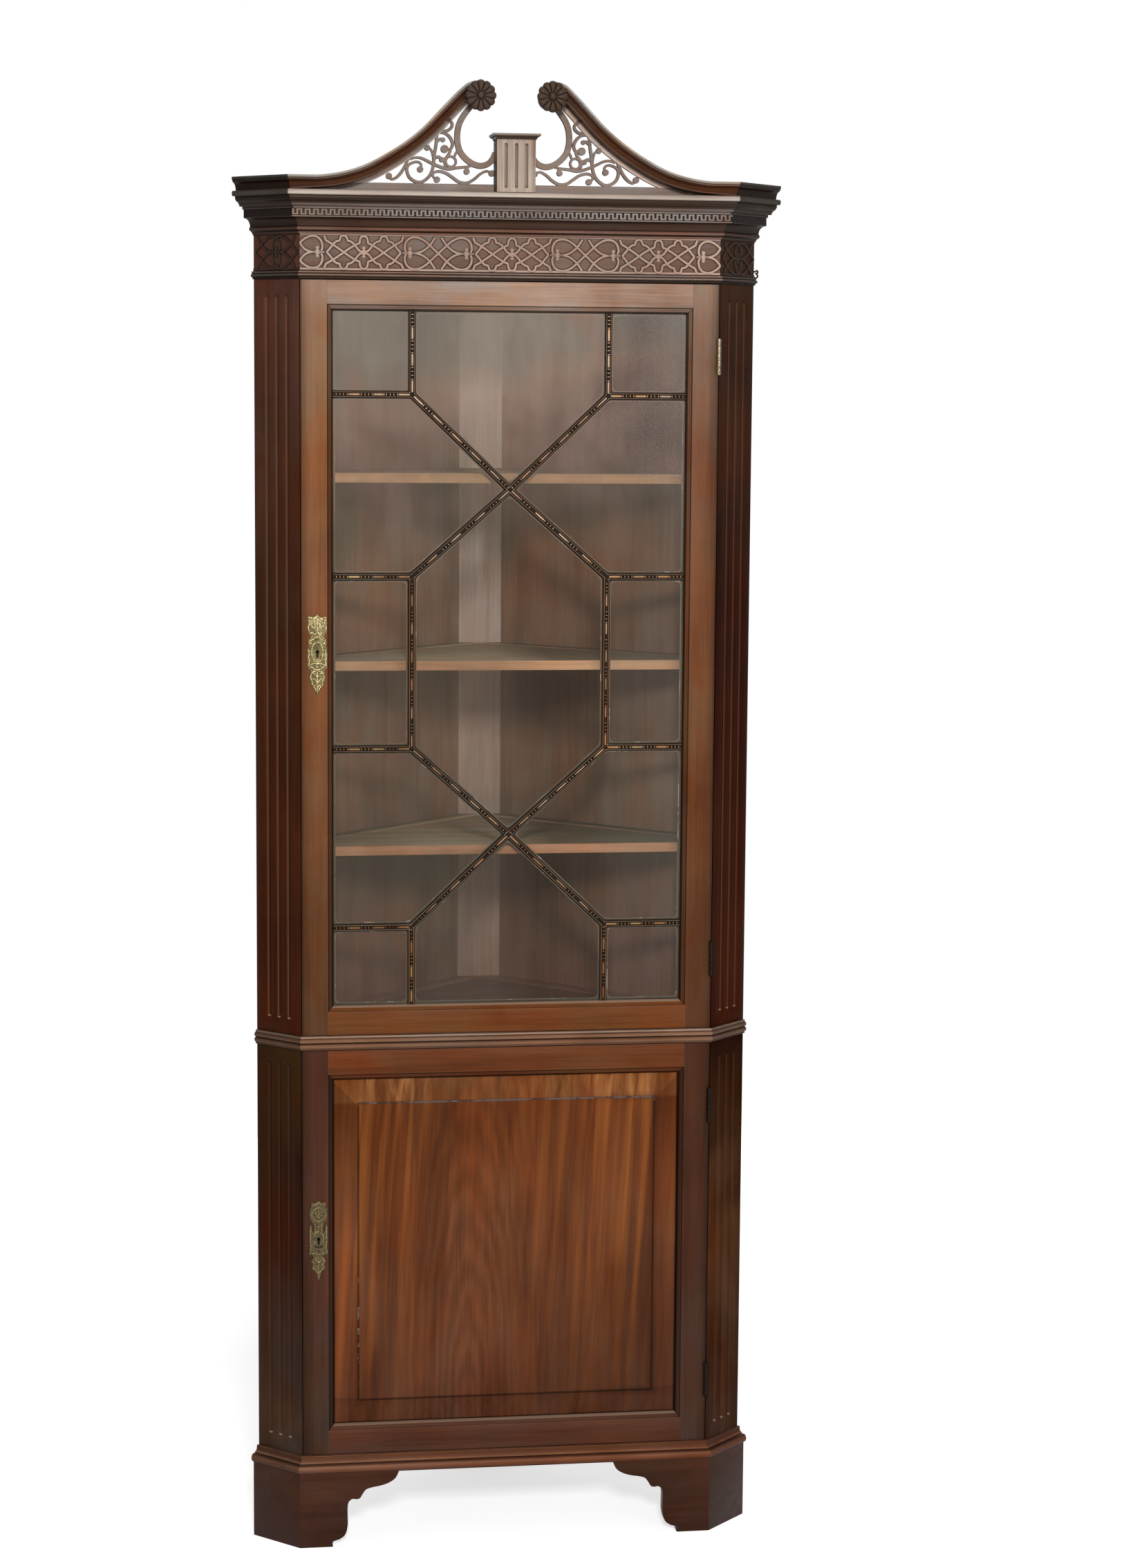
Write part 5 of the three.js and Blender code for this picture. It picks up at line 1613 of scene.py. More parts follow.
def wire_hook(finish):
    """A small wire hook driven into the outer edge of the right-hand pilaster."""
    x, y = cant_point(CANT_WIDTH, 0)
    bend = [
        (-3.0, 2000.5), (2.4, 2000.5), (5.6, 2002.2), (7.0, 1999.6), (5.2, 1997.4),
        (3.4, 1998.2), (6.2, 1995.4), (6.6, 1992.6), (4.0, 1990.6), (1.6, 1991.8),
    ]
    line = [tuple(p) for p in evenly(spline(bend, 6), 40)]
    stand = Matrix.Translation((at(x, y + 4, 0) - at(0, 0, 0))) @ on_front(0)
    mesh = straps([line], finish, 2.6, 2.2, 1.0, stand)
    fit(settle("wire_hook", mesh, finish), "cabinet", "iron")


def bracket_foot(side, finish):
    """A bracket foot: a front bracket sawn to a curve and mitred to the plain canted side."""
    out, inner, notch = 13.0, -7.0, 127.0
    section = [(inner, 0), (out, 0), (out, 120), (0, 120), (0, notch), (inner, notch)]
    stop = FRONT_HALF - 159.0
    rings = []
    for station in (3, 2):
        rings.append([(*case_line(o)[station], z) for o, z in section])
    rings.append([(stop, -o, z) for o, z in section])
    rings = [[(side * x, y, z) for x, y, z in ring] for ring in rings]
    board = closed(skin(*loft(rings)))
    reach = 159.0 * 0.705
    edge = spline(BRACKET_EDGE, 6)
    outline = [(stop - 2, -2), (stop + reach, -2)]
    outline += [(stop + (1 - p.x) * reach, p.y * 120) for p in edge]
    outline += [(stop + 0.07 * reach, notch + 2), (stop - 2, notch + 2)]
    arch = cutout([outline], 30)
    arch.transform(on_front(-3, side))
    mesh = carved(board, [closed(arch)])
    label = "right" if side > 0 else "left"
    piece = settle(f"bracket_foot_{label}_sawn", mesh, finish, ease=0.6, ease_over=60, crease=30)
    return fit(piece, "cabinet", "dark_door_wood", f"bracket_foot_{label}")


BRACKET_EDGE = [
    (0, 0), (0, 0.07), (0.09, 0.10), (0.17, 0.16), (0.205, 0.28), (0.205, 0.42), (0.205, 0.53),
    (0.22, 0.60), (0.27, 0.64), (0.33, 0.635), (0.38, 0.65), (0.42, 0.71), (0.47, 0.765),
    (0.56, 0.79), (0.68, 0.81), (0.79, 0.845), (0.88, 0.905), (0.93, 1.0),
]


# ---------------------------------------------------------------- finishes of this cupboard



def closing_edge(tree, coordinates, colour):
    """Dirt along the outer edges of a door's stiles."""
    edge = across_middle(tree, coordinates)
    patchy = speckle(tree, stretched(tree, coordinates, 1, 0.25), 14, 3, 0.6, 0.3)
    near = weighed(tree, [(edge, 1.0), (patchy, 0.016)], -0.008)
    smear = ranged(tree, near, (DOOR_HALF - 17) * MM, (DOOR_HALF - 4) * MM, 1, 0.66)
    line = ranged(tree, edge, (DOOR_HALF - 3) * MM, (DOOR_HALF - 1) * MM, 1, 0.45)
    return scaled(tree, colour, product(tree, smear, line))


def beyond(tree, coordinates, half, middle, rise):
    """Distance outwards from an upright rectangle, in metres; less than zero inside it."""
    beside = weighed(tree, [(across_middle(tree, coordinates), 1.0)], -half * MM)
    level = maths(
        tree, "ABSOLUTE", weighed(tree, [(axes(tree, coordinates)["Z"], 1.0)], -middle * MM)
    )
    above = weighed(tree, [(level, 1.0)], -rise * MM)
    return maths(tree, "MAXIMUM", beside, above)


# Painted shade across the sticking by distance out from the opening: dark in the quirks, lighter on
# the rounds.
STICKING_PAINTED_SHADE = [
    (-9.0, 0.14), (-6.6, 0.22), (-6.0, 0.75), (-4.9, 0.9), (-4.2, 0.5), (-3.6, 0.6), (-2.8, 0.92),
    (-2.1, 0.7), (-1.6, 0.20), (-0.5, 0.28), (0.4, 1.05), (2.0, 1.0),
]


# Colour and strength of the painted highlight on the sticking's upward faces.
SILL_HIGHLIGHT_TONE = "9c8470"
SILL_HIGHLIGHT_SHARES = {"upper": 0.6, "lower": 0.45}


def door_frame(stage):
    """The moulded inner edge of a door's frame has painted shade in its quirks and a painted
    highlight on its upward faces; faces turned to the right are painted darker, and the closing
    edges are darker too.
    """
    low, high = DOOR_LEVELS[stage]["low"], DOOR_LEVELS[stage]["high"]

    def stain_and_painted_light(tree, coordinates, colour):
        out = beyond(tree, coordinates, OPENING_HALF, (low + high) / 2, (high - low) / 2)
        first, last = STICKING_PAINTED_SHADE[0][0], STICKING_PAINTED_SHADE[-1][0]
        shade = ramp(
            tree, ranged(tree, out, first * MM, last * MM, 0, 1),
            [((d - first) / (last - first), (s, s, s, 1)) for d, s in STICKING_PAINTED_SHADE],
        )
        normal = axes(tree, tree.nodes.new("ShaderNodeNewGeometry").outputs["Normal"])
        upward = ranged(tree, normal["Z"], 0.2, 0.6, 0, 1)
        # Upward faces, turned to the light, keep less of the painted shade.
        shade = mixed(tree, product(tree, upward, 0.75), shade, (0.95, 0.95, 0.95, 1))
        colour = times(tree, colour, shade)
        # Faces turned to the right are painted darker, as shade.
        colour = scaled(tree, colour, ranged(tree, normal["X"], 0.2, 0.5, 1, 0.62))
        # A painted highlight on the upward faces of the sticking.
        sill_highlight = product(tree, upward, ranged(tree, out, -0.0052, -0.0064, 0, SILL_HIGHLIGHT_SHARES[stage]))
        colour = mixed(tree, sill_highlight, colour, tone(SILL_HIGHLIGHT_TONE))
        return closing_edge(tree, coordinates, colour)

    return stain_and_painted_light


FLUTE_STOP_HIGHLIGHT_TONE = "8f7866"


def painted_flute_light(pale, most):
    """Painted highlights make the wood paler on the flutes' far walls, which face the front, and on
    the stops at their feet; painted shade darkens the edge beside the door.
    """

    def stain_and_painted_light(tree, coordinates, colour):
        normal = axes(tree, tree.nodes.new("ShaderNodeNewGeometry").outputs["Normal"])
        # Walls that face the front, and stops that face up, take a painted highlight.
        share = ranged(tree, normal["Y"], -0.95, -0.998, 0, most)
        colour = mixed(tree, share, colour, tone(pale))
        stop = ranged(tree, normal["Z"], 0.35, 0.6, 0, 0.85)
        colour = mixed(tree, stop, colour, tone(FLUTE_STOP_HIGHLIGHT_TONE))
        # Painted shade along the edge beside the door.
        edge = across_middle(tree, coordinates)
        return scaled(
            tree, colour, ranged(tree, edge, FRONT_HALF * MM, (FRONT_HALF + 1.5) * MM, 0.35, 1)
        )

    return stain_and_painted_light


def painted_side_shade(tree, coordinates, colour):
    """Sawn edges, turned away from the front, are painted darker than the faded face, as shade."""
    normal = tree.nodes.new("ShaderNodeNewGeometry").outputs["Normal"]
    return scaled(tree, colour, ranged(tree, axes(tree, normal)["Y"], -0.92, -0.3, 1, 0.3))


def fret_lit_under_neck(tree, coordinates, colour):
    """The fret's solid edge under the neck, and its tail, are painted lighter against the neck's
    shadow; side faces get painted shade.
    """
    under = tree_node(tree, "ShaderNodeAttribute", attribute_name="under_neck").outputs["Fac"]
    colour = scaled(tree, colour, ranged(tree, under, 0, 1, 1, 2.6))
    return painted_side_shade(tree, coordinates, colour)


FIELD_HALF = OPENING_HALF - 47
FIELD_MIDDLE = (DOOR_LEVELS["lower"]["low"] + DOOR_LEVELS["lower"]["high"]) / 2
FIELD_RISE = (DOOR_LEVELS["lower"]["high"] - DOOR_LEVELS["lower"]["low"]) / 2 - 47
RIBBON_PLACES = [
    (-281, 0.25), (-242, 0.3), (-234, 0.9), (-215, 1.0), (-165, 1.0), (-145, 0.5), (-110, 0.2),
    (-40, 0.1), (20, 0.2), (70, 0.45), (110, 0.35), (135, 0.9), (160, 0.85), (178, 0.45),
    (192, 0.9), (222, 0.85), (236, 0.3), (281, 0.3),
]
PANEL_LEAN = 0.06
BEVEL_STREAK = -0.265


def flamed_panel(tree, coordinates, colour):
    """Light ribbons to both sides that die out towards the foot; painted shade round the field and
    in its corners, painted highlights on parts of its edge, and the bevels painted for the light
    that falls on them.
    """
    place = axes(tree, coordinates)
    leaning = tree_node(
        tree, "ShaderNodeMapping",
        {"Vector": coordinates, "Location": (0.31, 0, 0), "Rotation": (0, -PANEL_LEAN, 0)},
    ).outputs[0]
    ribbons = speckle(tree, stretched(tree, leaning, 1, 0.035), 62, 3, 0.55, 0.4)
    threads = speckle(tree, stretched(tree, leaning, 1, 0.02), 260, 3, 0.6, 0.2)
    shadows = speckle(tree, stretched(tree, leaning, 1, 0.1), 16, 3, 0.5, 0.9)
    leant = weighed(tree, [(place["X"], 1.0), (place["Z"], -PANEL_LEAN)], 0.6 * PANEL_LEAN)
    where = ramp(
        tree, ranged(tree, leant, -0.281, 0.281, 0, 1),
        [((x + 281) / 562, (share, share, share, 1)) for x, share in RIBBON_PLACES],
    )
    lit = weighed(tree, [(ribbons, 0.85), (threads, 0.15)], 0.0)
    share = product(tree, ranged(tree, lit, 0.44, 0.62, 0.0, 0.7), where)
    share = product(tree, share, ranged(tree, place["Z"], 0.24, 0.60, 0.25, 1))
    colour = mixed(tree, share, colour, tone("9c5a28"))
    aside = weighed(
        tree, [(place["X"], 1.0), (place["Z"], -PANEL_LEAN)], 0.27 * PANEL_LEAN - BEVEL_STREAK
    )
    aside = maths(tree, "ABSOLUTE", aside)
    streak = product(
        tree, ranged(tree, aside, 0.002, 0.010, 0.5, 0), ranged(tree, place["Z"], 0.57, 0.48, 0, 1)
    )
    streak = product(tree, streak, ranged(tree, place["Z"], 0.20, 0.32, 0.4, 1))
    colour = mixed(tree, streak, colour, tone("a0562a"))
    rings = tree_node(
        tree, "ShaderNodeMapping",
        {"Vector": coordinates, "Location": (0.06, 0, -0.034), "Scale": (1, 0, 0.16)},
    ).outputs[0]
    arches = tree_node(
        tree, "ShaderNodeTexWave",
        {"Vector": rings, "Scale": 26.0, "Distortion": 5.0, "Detail": 3.0, "Detail Scale": 2.0},
        wave_type="RINGS", rings_direction="SPHERICAL",
    ).outputs["Fac"]
    heart = weighed(tree, [(leant, 1.0)], 0.06)
    heart = maths(tree, "ABSOLUTE", heart)
    arched = weighed(
        tree, [(product(tree, weighed(tree, [(arches, 0.24)], -0.12),
                        ranged(tree, heart, 0.05, 0.12, 1, 0)), 1.0)], 1.0
    )
    colour = scaled(tree, colour, arched)
    colour = scaled(tree, colour, ranged(tree, shadows, 0.40, 0.56, 0.75, 1.06))
    # Painted shade: a dark line round the field's edge, softer and wider to the right.
    out = beyond(tree, coordinates, FIELD_HALF, FIELD_MIDDLE, FIELD_RISE)
    line = maths(tree, "ABSOLUTE", out)
    shadow = ranged(tree, line, 0.0008, 0.0026, 0.42, 1)
    soft = ranged(tree, line, 0.0, 0.010, 0.34, 0)
    soft = product(tree, soft, ranged(tree, place["X"], 0.10, 0.22, 0, 1))
    shadow = product(tree, shadow, weighed(tree, [(soft, -1.0)], 1.0))
    # Painted highlights, broken up by some rubbing, on the field's edge: low on the left and along
    # the top.
    spots = speckle(tree, coordinates, 60, 3, 0.6)
    left = product(
        tree, ranged(tree, place["X"], -0.231, -0.2325, 0, 0.8),
        product(
            tree, ranged(tree, place["Z"], 0.45, 0.38, 0, 1), ranged(tree, spots, 0.54, 0.6, 0, 1)
        ),
    )
    crest = product(
        tree, ranged(tree, place["Z"], 0.702, 0.7035, 0, 0.3),
        ranged(tree, spots, 0.42, 0.52, 0.2, 1)
    )
    highlit_and_rubbed = product(
        tree, maths(tree, "MAXIMUM", left, crest), ranged(tree, line, 0.0016, 0.0006, 0, 1),
    )
    colour = mixed(tree, highlit_and_rubbed, scaled(tree, colour, shadow), tone("8f8070"))
    # A cool tint on the top bevel paints a reflection.
    colour = mixed(
        tree, ranged(tree, place["Z"], 0.706, 0.712, 0, 1), colour,
        times(tree, colour, (0.96, 1.25, 1.95))
    )
    # The bevels are painted for the light on them: darker at the foot, lighter at the top, darker
    # at the upper mitres and towards the lower right.
    foot = ranged(tree, place["Z"], 0.215, 0.234, 0.86, 0.72)
    foot = product(tree, foot, ranged(tree, place["Z"], 0.2345, 0.2365, 1, 1.35))
    crown = ranged(tree, place["Z"], 0.706, 0.712, 1, 1.5)
    beside = weighed(tree, [(across_middle(tree, coordinates), 1.0)], -FIELD_HALF * MM)
    above = weighed(tree, [(place["Z"], 1.0)], -0.706)
    mitre = weighed(tree, [(beside, 1.0), (above, -1.0)], 0.0)
    cheek = product(
        tree, ranged(tree, mitre, 0.0, 0.002, 0, 1), ranged(tree, place["Z"], 0.60, 0.70, 0, 0.3)
    )
    cheek = weighed(
        tree, [(product(tree, cheek, ranged(tree, beside, 0.0, 0.001, 0, 1)), -1.0)], 1.0
    )
    corner = product(
        tree, ranged(tree, place["X"], 0.02, 0.18, 0, 0.24),
        ranged(tree, place["Z"], 0.50, 0.30, 0, 1)
    )
    corner = weighed(tree, [(corner, -1.0)], 1.0)
    foot = product(tree, product(tree, foot, crown), product(tree, cheek, corner))
    # A dark line at the panel's outer edge paints the shade in the gap next to the frame.
    return scaled(tree, scaled(tree, colour, foot), ranged(tree, out, 0.0355, 0.0378, 1, 0.45))


UPPER_DOOR_TONES = {
    -1: [(952, "5b3a24"), (1250, "71462a"), (1509, "7a4a2e"), (1728, "7f502b"),
         (1925, "886046"), (1975, "927260")],
    1: [(932, "5b351f"), (1230, "6a4126"), (1509, "714327"), (1728, "694532"),
        (1925, "7b5a48"), (1975, "866856")],
}
pilaster_upper = {
    side: timber(
        f"pilaster_mahogany_{label}", tones, seed=seed, streak=0.5, cloud=0.9, flame=0.7,
        shine=shine, gloss=(0.45, 0.6), stain_and_painted_light=painted_flute_light(pale, share),
    )
    for side, label, tones, seed, shine, pale, share in (
        (-1, "left", [(820, "3f1907"), (1500, "381d0f"), (2040, "4d2e24")], 1.3, 0.05, "74543f",
         0.5),
        (1, "right", [(820, "361406"), (1500, "2e1207"), (2040, "3a271d")], 2.1, 0.02, "6a483a",
         0.45),
    )
}
pilaster_lower = {
    side: timber(
        f"pilaster_mahogany_low_{label}", tones, seed=seed, streak=0.5, cloud=0.9, flame=0.7,
        shine=shine, gloss=(0.45, 0.6), stain_and_painted_light=painted_flute_light("4a3428", 0.5),
    )
    for side, label, tones, seed, shine in (
        (-1, "left", [(146, "413026"), (500, "311205"), (796, "301c09")], 3.3, 0.05),
        (1, "right", [(146, "3f291f"), (500, "573520"), (796, "241009")], 4.4, 0.0),
    )
}
# Tones by height across the necking and the cornice: the pale lines are painted highlights on beads
# and fillets, the dark lines painted shade in quirks and under overhangs.
cornice_wood = timber(
    "cornice_mahogany",
    [
        (1979.0, "1a110d"), (1981.4, "2a1f18"), (1982.2, "3a3029"), (1983.8, "5a4a40"),
        (1984.8, "937f72"), (1985.8, "5a463c"), (1987.0, "2a1c16"), (1988.2, "7a6458"),
        (1989.2, "9c877a"), (1990.0, "4a352c"), (1991.0, "3a2820"),
        (2046.0, "76584c"), (2048.4, "6a4c40"), (2048.8, "2a1a14"), (2050.8, "2c1c16"),
        (2051.6, "7d5e50"), (2054.0, "6a4a3e"), (2056.8, "2a1a14"), (2058.6, "3c2a22"),
        (2066.0, "48352b"), (2069.4, "30221c"), (2069.8, "7c706a"), (2070.8, "2c221e"),
        (2082.0, "302521"), (2082.6, "857872"), (2084.4, "5e504b"), (2086.2, "8a7c74"),
        (2087.0, "463833"), (2088.8, "7e706a"), (2089.6, "3d302a"), (2096.6, "34271f"),
        (2101.0, "3a2c24"),
    ],
    grain="across", seed=5, figure=0.3, streak=0.4, flame=0.3, grime_and_shade=0.5, grime_and_shade_reach=5,
    cants=0.30, waver=0.25,
)
faded_wood = timber(
    "faded_mahogany", [
        (2046, "948881"), (2100, "968a80"), (2103, "bbada1"), (2107, "a7978d"), (2109, "897b70")
    ],
    grain="across", seed=6, figure=0.25, streak=0.45, cloud=0.5, flame=0.12, grime_and_shade=0.6,
    grime_and_shade_reach=6, gloss=(0.5, 0.7), cants=0.11,
)
cap_wood = timber(
    "plinth_cap_mahogany",
    [(2187.0, "3a2e28"), (2191.0, "4a3c34"), (2192.2, "6a5a50"), (2193.4, "8f8378"),
     (2195.4, "8a7d72")],
    grain="across", seed=6.2, figure=0.25, streak=0.45, grime_and_shade=0.5, grime_and_shade_reach=4, waver=0.2,
)
key_wood = timber(
    "key_band_mahogany", [(2069, "908178")], grain="across", seed=6.1, figure=0.3, streak=0.5,
    cloud=0.8, flame=0.4, grime_and_shade=0.5, grime_and_shade_reach=3,
)
fret_wood = timber(
    "faded_fret_mahogany", [(2109, "897970"), (2260, "766960")], grain="across", seed=6.5,
    figure=0.25, streak=0.45, cloud=0.5, flame=0.3, grime_and_shade=0.5, grime_and_shade_reach=4,
    gloss=(0.5, 0.7), stain_and_painted_light=fret_lit_under_neck,
)
plinth_wood = timber(
    "faded_plinth_mahogany", [(2109, "9f8471"), (2190, "a78d7c")], seed=6.8, figure=0.5,
    streak=0.8, cloud=0.8, flame=0.9, grime_and_shade=0.75, grime_and_shade_reach=5, gloss=(0.5, 0.7), stain_and_painted_light=painted_side_shade,
)
swan_wood = timber(
    "swan_neck_mahogany",
    [
        (0.0, "40291e"), (1.6, "5f4235"), (2.2, "321d14"), (4.0, "422718"), (7.0, "4e2d1b"),
        (9.5, "3a2317"), (11.8, "321d15"), (12.5, "806b60"), (13.3, "513b30"), (14.0, "322119"),
        (14.9, "857a6f"), (17.0, "9f968d"), (18.0, "ada397"),
    ],
    measure="section_height", grain="across", seed=7, figure=0.4, streak=0.4, flame=0.5,
    grime_and_shade=0.3, cants=0.14, waver=0.2,
)
carved_wood = timber(
    "rosette_mahogany", [(2200, "43352d")], seed=8, figure=0.2, streak=0.3, grime_and_shade=0.85,
    grime_and_shade_reach=5, worn_and_highlight=0.15, dust_and_highlight=0.3,
)
frieze_ground = timber(
    "frieze_ground", [(1990, "6e594f")], grain="across", seed=9, figure=0.3, streak=0.4,
    cloud=0.5, flame=0.4, grime_and_shade=0.85, grime_and_shade_reach=3.5, cants=0.34,
)
frieze_carving = timber(
    "frieze_carving", [(1990, "b09588")], grain="across", seed=10, figure=0.15, streak=0.3,
    cloud=0.6, flame=0.15, grime_and_shade=0.7, grime_and_shade_reach=3, dust_and_highlight=0.7,
)
# A dark band under the frieze's straps: dirty, and painted shade round them.
fret_shade_and_dirt = timber(
    "frieze_dirt", [(1990, "4c382e")], grain="across", seed=10.5, figure=0.2, streak=0.4,
    cloud=0.8, grime_and_shade=0.6, grime_and_shade_reach=3, cants=0.34, gloss=(0.6, 0.8),
)
cant_carving = timber(
    "frieze_carving_cants", [(1990, "36271f")], seed=11, figure=0.2, streak=0.3, grime_and_shade=0.6,
    grime_and_shade_reach=3,
)
# Tones by height across the waist moulding: the pale lines are painted highlights on its rounds,
# the dark lines painted shade in its quirks.
waist_wood = timber(
    "waist_mahogany",
    [(796.0, "503629"), (798.6, "614434"), (799.4, "947258"), (804.0, "72503d"), (806.2, "503427"),
     (807.2, "37241d"), (808.0, "94745d"), (812.0, "785641"), (814.6, "503629"), (815.6, "a28976"),
     (817.0, "947a69"), (818.0, "765d4d")],
    grain="across", seed=13, streak=0.4, grime_and_shade=0.5, grime_and_shade_reach=3, cants=0.5, waver=0.2,
    drift=(-0.1, -0.08, -0.07),
)
# Tones by height across the base moulding: the pale lines are painted highlights on its rounds, the
# dark lines painted shade in its quirks.
base_wood = timber(
    "base_mahogany",
    [(120.0, "3f2419"), (121.6, "593527"), (127.0, "714430"), (131.0, "7c513b"), (133.8, "502e1f"),
     (135.0, "3f2419"), (136.6, "94654a"), (138.4, "613826"), (141.0, "502c1d"), (145.0, "59331c"),
     (146.0, "714a36")],
    grain="across", seed=14, streak=0.4, grime_and_shade=0.5, grime_and_shade_reach=4, cants=0.6, waver=0.25,
    drift=(0.06, 0.15, 0.24),
)
foot_wood = {
    side: timber(
        f"foot_mahogany_{label}", [(0, "392018"), (120, "45291d")], grain="across", seed=seed,
        figure=0.4, streak=0.4, cloud=0.6, flame=0.4, dust_and_highlight=0.3,
        cants=0.84 if side < 0 else 0.72, drift=(0.05, 0.08, 0.12),
    )
    for side, label, seed in ((-1, "left", 15), (1, "right", 16))
}


def dusty_and_shaded_top(tree, coordinates, colour):
    """The upper faces of the shelves are grey, with painted light and shade: lighter just left of
    the middle, darker to the right and along the walls.
    """
    normal = tree.nodes.new("ShaderNodeNewGeometry").outputs["Normal"]
    place = axes(tree, coordinates)
    top = ranged(tree, axes(tree, normal)["Z"], 0.5, 0.9, 0, 1)
    shade = ramp(
        tree, ranged(tree, place["X"], -0.3, 0.3, 0, 1),
        [(x, (s, s, s, 1)) for x, s in (
            (0, 0.95), (0.36, 1.85), (0.5, 1.6), (0.63, 0.6), (1, 0.5)
        )],
    )
    # Painted shade along the walls.
    wall = weighed(
        tree, [(across_middle(tree, coordinates), 1.0), (place["Y"], 1.0)],
        -CASE_FRONT - BACK_INNER * MM,
    )
    near = ranged(tree, wall, -0.032, -0.022, 1.0, 0.42)
    grey = mixed(
        tree, ranged(tree, place["Z"], 1.1, 1.7, 0, 1),
        times(tree, colour, (0.57, 0.92, 1.12)), times(tree, colour, (0.57, 0.79, 1.08)),
    )
    grey = scaled(tree, grey, product(tree, shade, near))
    return mixed(tree, top, colour, grey)


SIDE_SHADES = [
    (850, 0.78), (1000, 0.78), (1060, 0.8), (1220, 0.84), (1270, 0.34), (1345, 0.32), (1380, 0.7),
    (1460, 0.8), (1560, 1.0), (1660, 0.55), (1800, 0.42), (1860, 1.0), (1960, 0.95),
]


FAR_SHADES = [
    (850, 1.25), (1200, 1.1), (1250, 1.2), (1275, 2.0), (1345, 2.0), (1385, 1.0), (1600, 0.85),
    (1660, 0.8), (1960, 0.85),
]


def faces_forward(tree):
    """1 on the sides of boards that face the front, and 0 on their rear sides."""
    normal = tree.nodes.new("ShaderNodeNewGeometry").outputs["Normal"]
    return ranged(tree, axes(tree, normal)["Y"], 0.1, -0.1, 0, 1)


def under_shelves(tree, place):
    """1 on the walls just under each shelf, in its shadow, and 0 further down."""
    below = [(0, 0)]
    for node in ("shelf_bottom", "shelf_middle", "shelf_top"):
        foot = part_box(node)[0].z / MM
        below += [(foot - 150, 0), (foot - 70, 1), (foot, 1), (foot + 1, 0)]
    top = below[-1][0]
    return ramp(
        tree, ranged(tree, place["Z"], 0, top * MM, 0, 1),
        [(z / top, (s, s, s, 1)) for z, s in below],
    )


def shaded_side(tree, coordinates, colour):
    """Painted shade on the inside walls: the right-hand wall darker, more or less so with height,
    and the left wall darker under each shelf; painted light on the left wall near the corner; the
    right wall redder above about 1.4 m.
    """
    plain = colour
    place = axes(tree, coordinates)
    first, last = SIDE_SHADES[0][0], SIDE_SHADES[-1][0]
    by_height = ramp(
        tree, ranged(tree, place["Z"], first * MM, last * MM, 0, 1),
        [((z - first) / (last - first), (s, s, s, 1)) for z, s in SIDE_SHADES],
    )
    right = ranged(tree, place["X"], 0.0, 0.10, 0, 1)
    inner = weighed(tree, [(product(tree, right, by_height), 1.0), (right, -1.0)], 1.0)
    far = ranged(tree, place["X"], 0.12, 0.22, 0, 1)
    far_by_height = ramp(
        tree, ranged(tree, place["Z"], first * MM, last * MM, 0, 1),
        [((z - first) / (last - first), (s, s, s, 1)) for z, s in FAR_SHADES],
    )
    outer = product(tree, far, far_by_height)
    outer = weighed(tree, [(outer, 1.0), (far, -1.0)], 1.0)
    # Painted light on the left wall near the corner.
    nook = product(
        tree, ranged(tree, place["X"], -0.14, -0.08, 0, 1),
        ranged(tree, place["X"], -0.01, -0.03, 0, 1)
    )
    colour = mixed(tree, nook, colour, times(tree, colour, (1.14, 1.28, 1.36)))
    left = product(tree, ranged(tree, place["X"], -0.02, -0.06, 0, 1), under_shelves(tree, place))
    colour = mixed(tree, left, colour, times(tree, colour, (0.60, 0.70, 0.72)))
    shaded = scaled(tree, colour, product(tree, inner, outer))
    high = product(
        tree, ranged(tree, place["X"], 0.02, 0.10, 0, 1), ranged(tree, place["Z"], 1.36, 1.50, 0, 1)
    )
    shaded = mixed(tree, high, shaded, times(tree, shaded, (0.95, 0.80, 0.70)))
    return mixed(tree, faces_forward(tree), plain, shaded)


def dull_rear(tree, coordinates, colour):
    """The face towards the wall has not been bleached by light."""
    return mixed(tree, faces_forward(tree), times(tree, colour, (0.42, 0.33, 0.27)), colour)


shelf_wood = timber(
    "shelf_mahogany", [(1080, "c38c6a"), (1700, "dbae82")], grain="across", seed=12,
    streak=0.4, gloss=(0.5, 0.65), stain_and_painted_light=dusty_and_shaded_top,
)
case_wood = timber(
    "case_mahogany",
    [(150, "5a3a2a"), (1000, "835f4c"), (1500, "96735e"), (2000, "b7937e")], seed=17,
    figure=0.4, streak=0.4, cloud=0.5, flame=0.5, gloss=(0.5, 0.7), shine=0.08, stain_and_painted_light=shaded_side,
)
corner_wood = timber(
    "corner_board_mahogany",
    [(150, "6a4a38"), (1000, "a28675"), (1500, "c4ad9f"), (1740, "ead8c8"), (1830, "e7dacc"),
     (2000, "ddcfc2")], seed=18,
    streak=0.4, cloud=0.5, flame=0.15, gloss=(0.5, 0.7), shine=0.08,
    stain_and_painted_light=dull_rear,
)
def ochre_uprights(tree, coordinates, colour):
    """The lower upright bars have kept their ochre colour."""
    low = tree_node(tree, "ShaderNodeAttribute", attribute_name="low_upright").outputs["Fac"]
    return mixed(tree, low, colour, times(tree, colour, (1.25, 0.95, 0.75)))


def lit_crest(tree, coordinates, colour):
    """Turned work is pale along its crest, a painted highlight, and painted darker down its brown
    sides; the slanting strings are paler.
    """
    normal = tree.nodes.new("ShaderNodeNewGeometry").outputs["Normal"]
    slanting = tree_node(tree, "ShaderNodeAttribute", attribute_name="slanting").outputs["Fac"]
    colour = mixed(tree, slanting, colour, times(tree, colour, (1.2, 1.15, 1.3)))
    return scaled(tree, colour, ranged(tree, axes(tree, normal)["Y"], -0.95, -0.6, 1.0, 0.4))


def crumbled(tree, coordinates, colour):
    """Here and there the putty is chalky."""
    chalk = ranged(tree, speckle(tree, coordinates, 34, 3, 0.6, 0.5), 0.60, 0.66, 0, 0.75)
    return mixed(tree, chalk, colour, tone("cfc4b2"))


